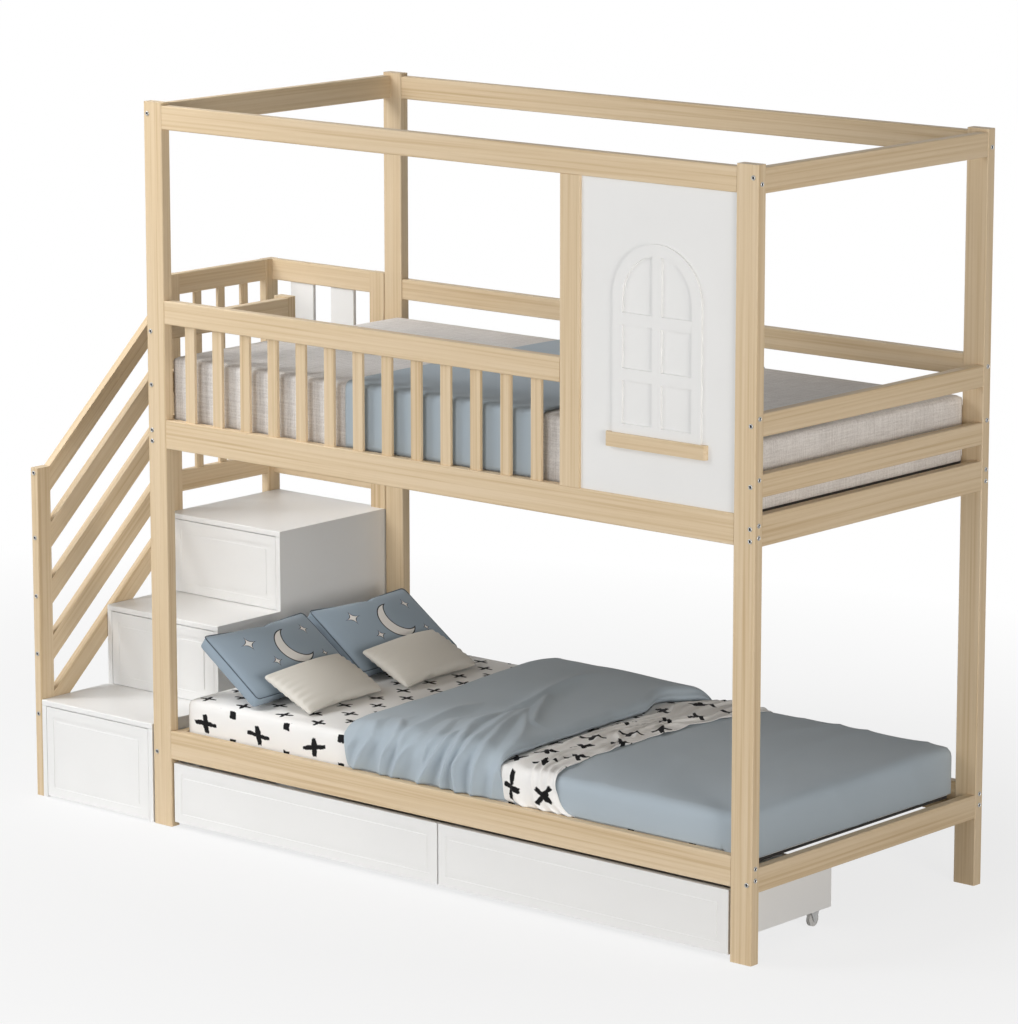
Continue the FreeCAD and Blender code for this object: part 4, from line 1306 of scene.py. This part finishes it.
@dataclass
class LowerBedding:
    """The lower bunk: printed mattress, foot blanket, printed band and duvet."""

    spacing: float = 0.013
    blanket_lift: float = 0.008
    blanket_under: float = 0.13
    blanket_turn: float = 0.05
    blanket_tuck: float = 0.1
    cloth: float = 0.004
    hem: float = 0.2705
    end_hem: float = 0.2395
    sag: float = 0.008
    foot_line: float = 0.003
    duvet_left: BowedEdge = field(default_factory=lambda: BowedEdge(-0.095, -0.125, 0.047, 0.006))
    duvet_right: BowedEdge = field(default_factory=lambda: BowedEdge(0.458, 0.42, 0.06, 0.006, 0.05))
    band_right: BowedEdge = field(default_factory=lambda: BowedEdge(0.678, 0.672, 0.12, 0.012))
    fold_gain: float = 1.75
    front_inset: float = 0.008
    back_rise: float = 0.012
    duvet_top: float = 0.030
    duvet_side: float = 0.012
    duvet_round: float = 0.055
    edge_round: float = 0.03
    band_tuck: float = 0.008
    band_cloth: float = 0.0015
    band_under: float = 0.0035
    band_flat: float = 0.0105
    band_lowest: float = 0.0095
    band_wrinkle: float = 0.013
    crease_slow: float = 0.003
    crease_ridge: float = 0.005
    crease_start: float = 0.08
    duvet_swell: float = 0.005
    fine_swell: float = 0.002
    mound: float = 0.012
    mound_place: tuple[float, float] = (0.02, 0.78)
    mound_width: tuple[float, float] = (0.16, 0.13)
    second_fold: float = 0.3
    under_gap: float = 0.001
    band_counts: tuple[int, int] = (64, 220)
    duvet_counts: tuple[int, int] = (150, 250)

    def build(self) -> None:
        """Make each layer, from the mattress up."""
        low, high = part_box("lower_mattress")
        deck_low, deck_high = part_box("lower_slats")
        self.block = MattressForm(low, high, sag=self.sag, deck=(deck_low.x, deck_high.x))
        self.path = CoverPath(self.block, self.hem)
        form = self.block.mesh(0.0, self.spacing)
        sheet_map(form)
        # The strip below the foot line takes the painted shade of the gap under the mattress
        line_underside(form, low.z + self.foot_line, 2)
        self.mattress = add_piece(
            "lower_mattress_sheeted", form, (SIDE_PRINT, TOP_PRINT, UNDERSIDE_PAINTED_SHADE)
        )
        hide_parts("lower_mattress")
        self.add_band(self.add_blanket())
        self.add_duvet()

    def crease(self, spot: Vector) -> float:
        """Height of the blanket's faint creases, which end short of the band."""
        slow = noise.noise(Vector((spot.x * 2.5, spot.y * 2.5, 1.0)))
        ridge = noise.noise(Vector((spot.x * 7.0 + spot.y * 3.0, spot.y * 2.2 + slow, spot.z * 3.0)))
        shown = smooth_step(self.band_right.front, self.band_right.front + self.crease_start, spot.x)
        return shown * (self.crease_slow * slow + self.crease_ridge * (1 - abs(ridge)) ** 6)

    def add_blanket(self) -> bpy.types.Object:
        """The smooth blanket over the foot, tucked in lower at the end."""
        low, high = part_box("foot_blanket")
        start = low.x - self.blanket_under
        turn = high.x - self.blanket_turn
        form = self.block.mesh(self.blanket_lift, self.spacing)
        cut_away(form, (start, 0, 0), (-1, 0, 0))
        cut_away(form, (0, 0, self.end_hem), (0, 0, -1))
        cut_away(form, (turn, 0, 0), (1, 0, 0), drop=False)
        sides = [face for face in form.faces if face.calc_center_median().x < turn]
        geometry = list(dict.fromkeys(item for face in sides for item in (*face.verts, *face.edges, face)))
        bmesh.ops.bisect_plane(
            form, geom=geometry, plane_co=(0, 0, self.hem), plane_no=(0, 0, -1), clear_outer=True
        )
        form.normal_update()
        for vertex in form.verts:
            vertex.co += vertex.normal * self.crease(vertex.co)
        blanket = add_piece("foot_blanket_cloth", form, (BLUE_COTTON,))
        thickened(blanket, self.cloth)
        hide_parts("foot_blanket")
        return blanket

    def cover(
        self,
        left: BowedEdge,
        right: BowedEdge,
        counts: tuple[int, int],
        spot: Callable[[float, float, float], tuple[float, float]],
    ) -> bmesh.types.BMesh:
        """A gridded cover between two edges.

        Args:
            left: Its left edge.
            right: Its right edge.
            counts: Divisions along the bed and across it.
            spot: Y and Z from X, share across the bed and share along the cover.

        Returns:
            The form, with a UV map in metres.
        """
        form = bmesh.new()
        bmesh.ops.create_grid(form, x_segments=counts[0], y_segments=counts[1], size=0.5)
        layer = form.loops.layers.uv.new("print")
        for face in form.faces:
            for loop in face.loops:
                across, along = loop.vert.co.x + 0.5, loop.vert.co.y + 0.5
                width = right.at(along) - left.at(along)
                loop[layer].uv = (across * width, along * self.path.length)
        for vertex in form.verts:
            across, along = vertex.co.x + 0.5, vertex.co.y + 0.5
            x = left.at(along) + (right.at(along) - left.at(along)) * across
            y, z = spot(x, along, across)
            vertex.co = (x, y, z)
        return form

    def add_band(self, blanket: bpy.types.Object) -> None:
        """The printed band that comes out from under the duvet and lies on the blanket.

        Args:
            blanket: The blanket under it; not used.
        """
        edge = self.duvet_right
        left = replace(edge, front=edge.front - self.band_tuck, back=edge.back - self.band_tuck)

        def spot(x: float, along: float, across: float) -> tuple[float, float]:
            """Lengthwise wrinkles, which are flatter at the edges."""
            warp = noise.noise(Vector((across * 2.0, along * 5.0, 3.0)))
            waves = math.sin(math.pi * (across * 5.5 + warp * 1.4 + along * 1.1))
            crest = (1 - abs(waves)) ** 2
            fine = noise.noise(Vector((across * 11.0, along * 9.0, 8.0)))
            wrinkle = self.band_wrinkle * crest * (0.6 + 0.4 * warp)
            height = self.band_flat + wrinkle + self.fine_swell * fine
            rise = smooth_step(0.0, 0.3, across)
            lift = self.band_under + (max(height, self.band_lowest) - self.band_under) * rise
            return self.path.at(along * self.path.length, lift)

        form = self.cover(left, self.band_right, self.band_counts, spot)
        band = add_piece("printed_band", form, (BAND_PRINT,))
        thickened(band, self.band_cloth)
        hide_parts("duvet")

    def duvet_relief(self, x: float, along: float) -> float:
        """Relief of the duvet: its ridges and a slow swell.

        Args:
            x: Place along the bed.
            along: Share across the bed, from the front hem.

        Returns:
            Metres above the duvet's even thickness.
        """
        distance = along * self.path.length
        swell = noise.noise(Vector((x * 5.0 + distance * 1.5, distance * 4.0, 5.0)))
        fine = noise.noise(Vector((x * 13.0 + distance * 5.0, distance * 8.0, 2.0)))
        off_x = (x - self.mound_place[0]) / self.mound_width[0]
        off_along = (along - self.mound_place[1]) / self.mound_width[1]
        mound = self.mound * math.exp(-(off_x**2) - off_along**2)
        ridges = sorted(fold.at(x, distance) for fold in DUVET_FOLDS)
        rise = self.back_rise * smooth_step(0.35, 0.85, along)
        folds = self.fold_gain * (ridges[-1] + self.second_fold * ridges[-2])
        drawn_in = self.front_inset * (1 - smooth_step(*SHOULDER, distance))
        return folds + self.duvet_swell * swell + self.fine_swell * fine + mound + rise - drawn_in

    def add_duvet(self) -> None:
        """The duvet: a thick closed form with rolled edges, a round shoulder and slanting folds."""
        low = self.block.low - Vector((0, self.duvet_side, 0))
        high = self.block.high + Vector((0, self.duvet_side, self.duvet_top))
        padded = MattressForm(low, high, self.duvet_round, self.duvet_round, crown=self.block.crown)
        outer = CoverPath(padded, self.hem)

        def layer(side: float) -> Callable[[float, float, float], tuple[float, float]]:
            """The upper side for 1, the underside for -1; both meet half way at the rolled edges."""

            def spot(x: float, along: float, across: float) -> tuple[float, float]:
                """Y and Z of a point."""
                width = self.duvet_right.at(along) - self.duvet_left.at(along)
                edge = min(min(across, 1 - across) * width / self.edge_round, 1.0)
                roll = math.sqrt(1 - (1 - edge) ** 2)
                share = 0.5 + 0.5 * roll * side
                top_y, top_z = outer.at(along * outer.length, self.duvet_relief(x, along))
                under_y, under_z = self.path.at(along * self.path.length, self.under_gap)
                return under_y + (top_y - under_y) * share, under_z + (top_z - under_z) * share

            return spot

        form = self.cover(self.duvet_left, self.duvet_right, self.duvet_counts, layer(1.0))
        under = self.cover(self.duvet_left, self.duvet_right, self.duvet_counts, layer(-1.0))
        bmesh.ops.reverse_faces(under, faces=under.faces[:])
        join(form, under)
        rims = [edge for edge in form.edges if edge.is_boundary]
        bmesh.ops.bridge_loops(form, edges=rims)
        duvet = add_piece("duvet_cover", form, (BLUE_COTTON,))
        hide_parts("duvet")


@dataclass
class StuffedCushion:
    """A cushion that is blown up by a cloth simulation and leant on the bed."""

    name: str
    length: float
    height: float
    edge: float
    middle: Vector
    tilt: float
    turn: float
    run: ClothRun
    spacing: float
    crown: float
    corner: float
    pucker: float = 0.0
    pucker_reach: float = 0.03
    pucker_pitch: float = 0.021
    seam_reach: float = 0.008
    rest_gap: float = 0.0006
    back_share: float = 0.5
    fullness_power: float = 0.55
    off_print: tuple[float, float] = (9.0, 9.0)

    def place(self) -> Matrix:
        """The turn and move from the flat cushion to where it leans."""
        tilted = Matrix.Rotation(math.radians(180.0 + self.tilt), 4, "Y")
        return Matrix.Translation(self.middle) @ Matrix.Rotation(math.radians(self.turn), 4, "Z") @ tilted

    def half(self) -> Vector:
        """Half the flat cushion's sizes."""
        return Vector((self.height / 2, self.length / 2, self.edge / 2))

    @staticmethod
    def is_front(face: bmesh.types.BMFace, half: Vector) -> bool:
        """Whether a face lies on the cushion's front."""
        return all(vertex.co.z < -half.z + HAIR for vertex in face.verts)

    def flat(self) -> bmesh.types.BMesh:
        """The flat cushion, with a UV map in metres on its front and none elsewhere."""
        half = self.half()
        form = gridded_box(-half, half, self.spacing)
        layer = form.loops.layers.uv.new("print")
        for face in form.faces:
            is_front = self.is_front(face, half)
            for loop in face.loops:
                spot = loop.vert.co
                loop[layer].uv = (spot.y, spot.x) if is_front else self.off_print
        for vertex in form.verts:
            self.soften(vertex.co, half)
        return form

    def soften(self, spot: Vector, half: Vector) -> None:
        """Crown the faces of the flat cushion and round its corners.

        Args:
            spot: A point of the cushion, which moves.
            half: Half the cushion's sizes.
        """
        fullness = max(1 - (spot.x / half.x) ** 2, 0.0) * max(1 - (spot.y / half.y) ** 2, 0.0)
        if abs(spot.z) > half.z - HAIR:
            crown = self.crown if spot.z < 0 else self.crown * self.back_share
            spot.z += math.copysign(crown * fullness**self.fullness_power, spot.z)
        over_x = abs(spot.x) - half.x + self.corner
        over_y = abs(spot.y) - half.y + self.corner
        if over_x > 0 and over_y > 0:
            pull = 1 - max(over_x, over_y) / math.hypot(over_x, over_y)
            spot.x -= math.copysign(over_x * pull, spot.x)
            spot.y -= math.copysign(over_y * pull, spot.y)

    def build(self, finish: Finish, slot: str, floor: float) -> tuple[bpy.types.Object, list[Vector]]:
        """Blow the cushion up and set it in place.

        Args:
            finish: Its finish.
            slot: The record's material slot; not used.
            floor: The height of what it rests on.

        Returns:
            The cushion, and the points of its front seam in order.
        """
        form = self.flat()
        half = self.half()
        form.verts.index_update()
        front = -half.z + HAIR
        seam = [
            (math.atan2(vertex.co.y / half.y, vertex.co.x / half.x), vertex.index)
            for vertex in form.verts
            if vertex.co.z < front and any(not self.is_front(face, half) for face in vertex.link_faces)
        ]
        starts = [vertex.co.copy() for vertex in form.verts]
        piece = add_piece(self.name, form, (finish,))
        self.run.apply(piece)
        place = self.place()
        for vertex, start in zip(piece.data.vertices, starts):
            end_gap = half.y - abs(start.y)
            wave = math.sin(start.x * 2 * math.pi / self.pucker_pitch)
            gather = self.pucker * math.exp(-end_gap / self.pucker_reach) * wave
            spot = place @ (vertex.co + Vector((0, 0, gather * min(end_gap / self.seam_reach, 1.0))))
            spot.z = max(spot.z, floor + self.rest_gap)
            vertex.co = spot
        return piece, [piece.data.vertices[index].co.copy() for _, index in sorted(seam)]


def piping(name: str, points: Sequence[Vector], radius: float, finish: Finish) -> bpy.types.Object:
    """A welt along a closed seam.

    Args:
        name: Its name.
        points: The seam's points in order.
        radius: The welt's radius.
        finish: Its finish.

    Returns:
        The welt.
    """
    data = bpy.data.curves.new(name, "CURVE")
    data.dimensions = "3D"
    data.bevel_depth = radius
    data.bevel_resolution = 2
    line = data.splines.new("POLY")
    line.points.add(len(points) - 1)
    for knot, point in zip(line.points, points):
        knot.co = (*point, 1.0)
    line.use_cyclic_u = True
    holder = bpy.data.objects.new(name, data)
    form = bmesh.new()
    mesh = bpy.data.meshes.new_from_object(holder)
    form.from_mesh(mesh)
    bpy.data.objects.remove(holder)
    bpy.data.meshes.remove(mesh)
    return add_piece(name, form, (finish,))


@dataclass
class Cushions:
    """Two printed pillows and two cream cushions at the head of the lower bunk."""

    pillow_length: float = 0.398
    pillow_height: float = 0.248
    pillow_edge: float = 0.034
    pillow_tilt: float = 35.0
    pillow_turn: float = 0.0
    pillow_spacing: float = 0.0095
    cushion_length: float = 0.322
    cushion_height: float = 0.172
    cushion_edge: float = 0.008
    cushion_tilt: float = 27.0
    cushion_turn: float = 5.5
    cushion_spacing: float = 0.0055
    cushion_pucker: float = 0.0035
    pillow_crown: float = 0.020
    pillow_corner: float = 0.010
    cushion_crown: float = 0.03
    cushion_corner: float = 0.008
    back_cushion_shift: float = 0.02
    welt: float = 0.0015

    def build(self) -> None:
        """Make all four."""
        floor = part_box("lower_mattress")[1].z
        low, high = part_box("pillows")
        middle = (low + high) / 2
        half = self.pillow_length / 2
        run = ClothRun(pressure=2.1, tension=40.0, bending=1.5)
        for name, y in (("front_pillow", low.y + half), ("back_pillow", high.y - half)):
            spot = Vector((middle.x, y, middle.z))
            pillow = StuffedCushion(
                name, self.pillow_length, self.pillow_height, self.pillow_edge, spot, self.pillow_tilt,
                self.pillow_turn, run, self.pillow_spacing, self.pillow_crown, self.pillow_corner,
            )
            piece, seam = pillow.build(PILLOW_PRINT_PAINTED_SHADE, "blue_cotton", floor)
            smoothed(piece)
            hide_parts("pillows")
            # A real welt along the seam, whose darker blue paints the seam's shadow
            piping(f"{name}_piping", seam, self.welt, PIPING_PAINTED_SHADE)
        low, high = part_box("lumbar_cushions")
        middle = (low + high) / 2
        turn = math.radians(self.cushion_turn)
        half = (
            self.cushion_length * math.cos(turn)
            + self.cushion_height * math.cos(math.radians(self.cushion_tilt)) * math.sin(turn)
        ) / 2
        run = ClothRun(pressure=1.8, tension=20.0, bending=0.8, shrink=-0.01)
        back_y = high.y - half - self.back_cushion_shift
        for name, y in (("front_lumbar_cushion", low.y + half), ("back_lumbar_cushion", back_y)):
            spot = Vector((middle.x, y, middle.z))
            cushion = StuffedCushion(
                name, self.cushion_length, self.cushion_height, self.cushion_edge, spot, self.cushion_tilt,
                self.cushion_turn, run, self.cushion_spacing, self.cushion_crown, self.cushion_corner,
                self.cushion_pucker,
            )
            piece, _ = cushion.build(CREAM_LINEN, "cream_linen", floor)
            smoothed(piece)
            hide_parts("lumbar_cushions")


@dataclass
class Studio:
    """Floor, lights, world and the camera at the photograph's angle."""

    image_height: float = 1024.0
    focal: float = 4731.5
    sensor: float = 36.0
    sight: float = 200.0
    pivot: tuple[float, float, float] = (1000.0, 500.0, 1000.0)
    azimuth: float = 40.791
    elevation: float = 11.469
    roll: float = -0.039
    offset: tuple[float, float, float] = (-144.0, -102.3, 12078.1)
    unit: float = 1.032
    origin: tuple[float, float, float] = (0.8, 0.4855, 0.0)
    aim: tuple[float, float, float] = (0.0, 0.0, 0.9)
    stair_aim: tuple[float, float, float] = (-1.0, 0.0, 0.7)
    surround: float = 0.14
    floor_half: float = 120.0
    floor_drop: float = 0.0004
    floor_grey: Colour = (0.75, 0.75, 0.75, 1.0)
    floor_white: float = 0.78
    floor_reach: float = 2.2
    floor_squeeze: float = 0.55

    def camera(self) -> None:
        """Set the camera that was fitted to the bed's corners."""
        turn, lift, tilt = (math.radians(angle) for angle in (self.azimuth, self.elevation, self.roll))
        right = Vector((math.cos(turn), math.sin(turn), 0))
        back = Vector(
            (math.sin(turn) * math.cos(lift), -math.cos(turn) * math.cos(lift), math.sin(lift))
        )
        up = back.cross(right)
        camera_right = right * math.cos(tilt) + up * math.sin(tilt)
        camera_up = up * math.cos(tilt) - right * math.sin(tilt)
        across, above, away = self.offset
        spot = Vector(self.pivot) + back * away + camera_right * across + camera_up * above
        spot = spot * self.unit / 1000 - Vector(self.origin)
        data = bpy.data.cameras.new("photo_camera")
        data.sensor_width = self.sensor
        data.lens = self.focal / self.image_height * data.sensor_width
        data.clip_end = self.sight
        camera = linked("photo_camera", data)
        turned = Matrix((camera_right, camera_up, back)).transposed().to_4x4()
        camera.matrix_world = Matrix.Translation(spot) @ turned
        bpy.context.scene.camera = camera

    def floor(self) -> None:
        """A wide pale floor that keeps the shadow near the bed and runs out to white."""
        form = bmesh.new()
        bmesh.ops.create_grid(form, x_segments=2, y_segments=2, size=self.floor_half)
        bmesh.ops.translate(form, verts=form.verts[:], vec=(0, 0, -self.floor_drop))
        mesh = bpy.data.meshes.new("studio_floor")
        form.to_mesh(mesh)
        form.free()
        floor = linked("studio_floor", mesh)
        graph = Graph(bpy.data.materials.new("pale_floor"))
        across, along, _ = graph.place().parts()
        distance = (across * across * self.floor_squeeze + along * along) ** 0.5
        near = distance.within(self.floor_reach, self.floor_reach)
        far = self.floor_white + (1 - self.floor_white) * (1 - near)
        matt = graph.add("ShaderNodeBsdfDiffuse", {}, {"Color": self.floor_grey})
        white = graph.add("ShaderNodeEmission", {}, {"Color": WHITE, "Strength": 1.0})
        mixed = graph.add("ShaderNodeMixShader", {}, {0: far * graph.seen(), 1: matt, 2: white})
        graph.add("ShaderNodeOutputMaterial", {}, {"Surface": mixed})
        mesh.materials.append(graph.holder)

    def lamp(
        self,
        name: str,
        spot: Sequence[float],
        aim: Sequence[float],
        size: float,
        power: float,
        tint: Sequence[float] = (1.0, 1.0, 1.0),
        spread: float = 180.0,
    ) -> None:
        """Add one soft lamp.

        Args:
            name: Its name.
            spot: Where it stands.
            aim: Where it points.
            size: How wide it is.
            power: Its power in watts.
            tint: Its colour.
            spread: Angle that its light spreads over, in degrees.
        """
        data = bpy.data.lights.new(name, "AREA")
        data.shape = "DISK"
        data.size = size
        data.energy = power
        data.color = tint
        data.spread = math.radians(spread)
        lamp = linked(name, data)
        way = Vector(aim) - Vector(spot)
        lamp.matrix_world = Matrix.Translation(spot) @ way.to_track_quat("-Z", "Y").to_matrix().to_4x4()

    def world(self) -> None:
        """A dim surround that the camera sees as white."""
        world = bpy.data.worlds.new("studio_surround")
        bpy.context.scene.world = world
        graph = Graph(world)
        surround = graph.add("ShaderNodeBackground", {}, {"Color": WHITE, "Strength": self.surround})
        white = graph.add("ShaderNodeBackground", {}, {"Color": WHITE, "Strength": 1.0})
        mixed = graph.add("ShaderNodeMixShader", {}, {0: graph.seen(), 1: surround, 2: white})
        graph.add("ShaderNodeOutputWorld", {}, {"Surface": mixed})

    def build(self) -> None:
        """Set up the whole studio."""
        bpy.context.scene.view_settings.view_transform = "Standard"
        self.floor()
        self.world()
        self.lamp("key_lamp", (-5.6, -5.6, 5.6), self.aim, 3.2, 265.0)
        self.lamp("front_lamp", (0.4, -9.0, 1.6), self.aim, 5.0, 240.0)
        self.lamp("right_lamp", (7.5, -3.0, 1.8), self.aim, 3.0, 235.0, (1.0, 0.965, 0.925))
        self.lamp("stair_lamp", (-1.9, -1.3, 3.6), self.stair_aim, 1.6, 10.5, spread=70.0)
        self.camera()


def main() -> None:
    """Build the classes in order."""
    logging.basicConfig(level=logging.INFO, format="%(message)s")
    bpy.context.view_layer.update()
    kinds = (WoodFrame, PaintedPanels, Casters, BoltHeads, UpperBedding, LowerBedding, Cushions, Studio)
    for kind in kinds:
        kind().build()


if __name__ == "__main__":
    main()
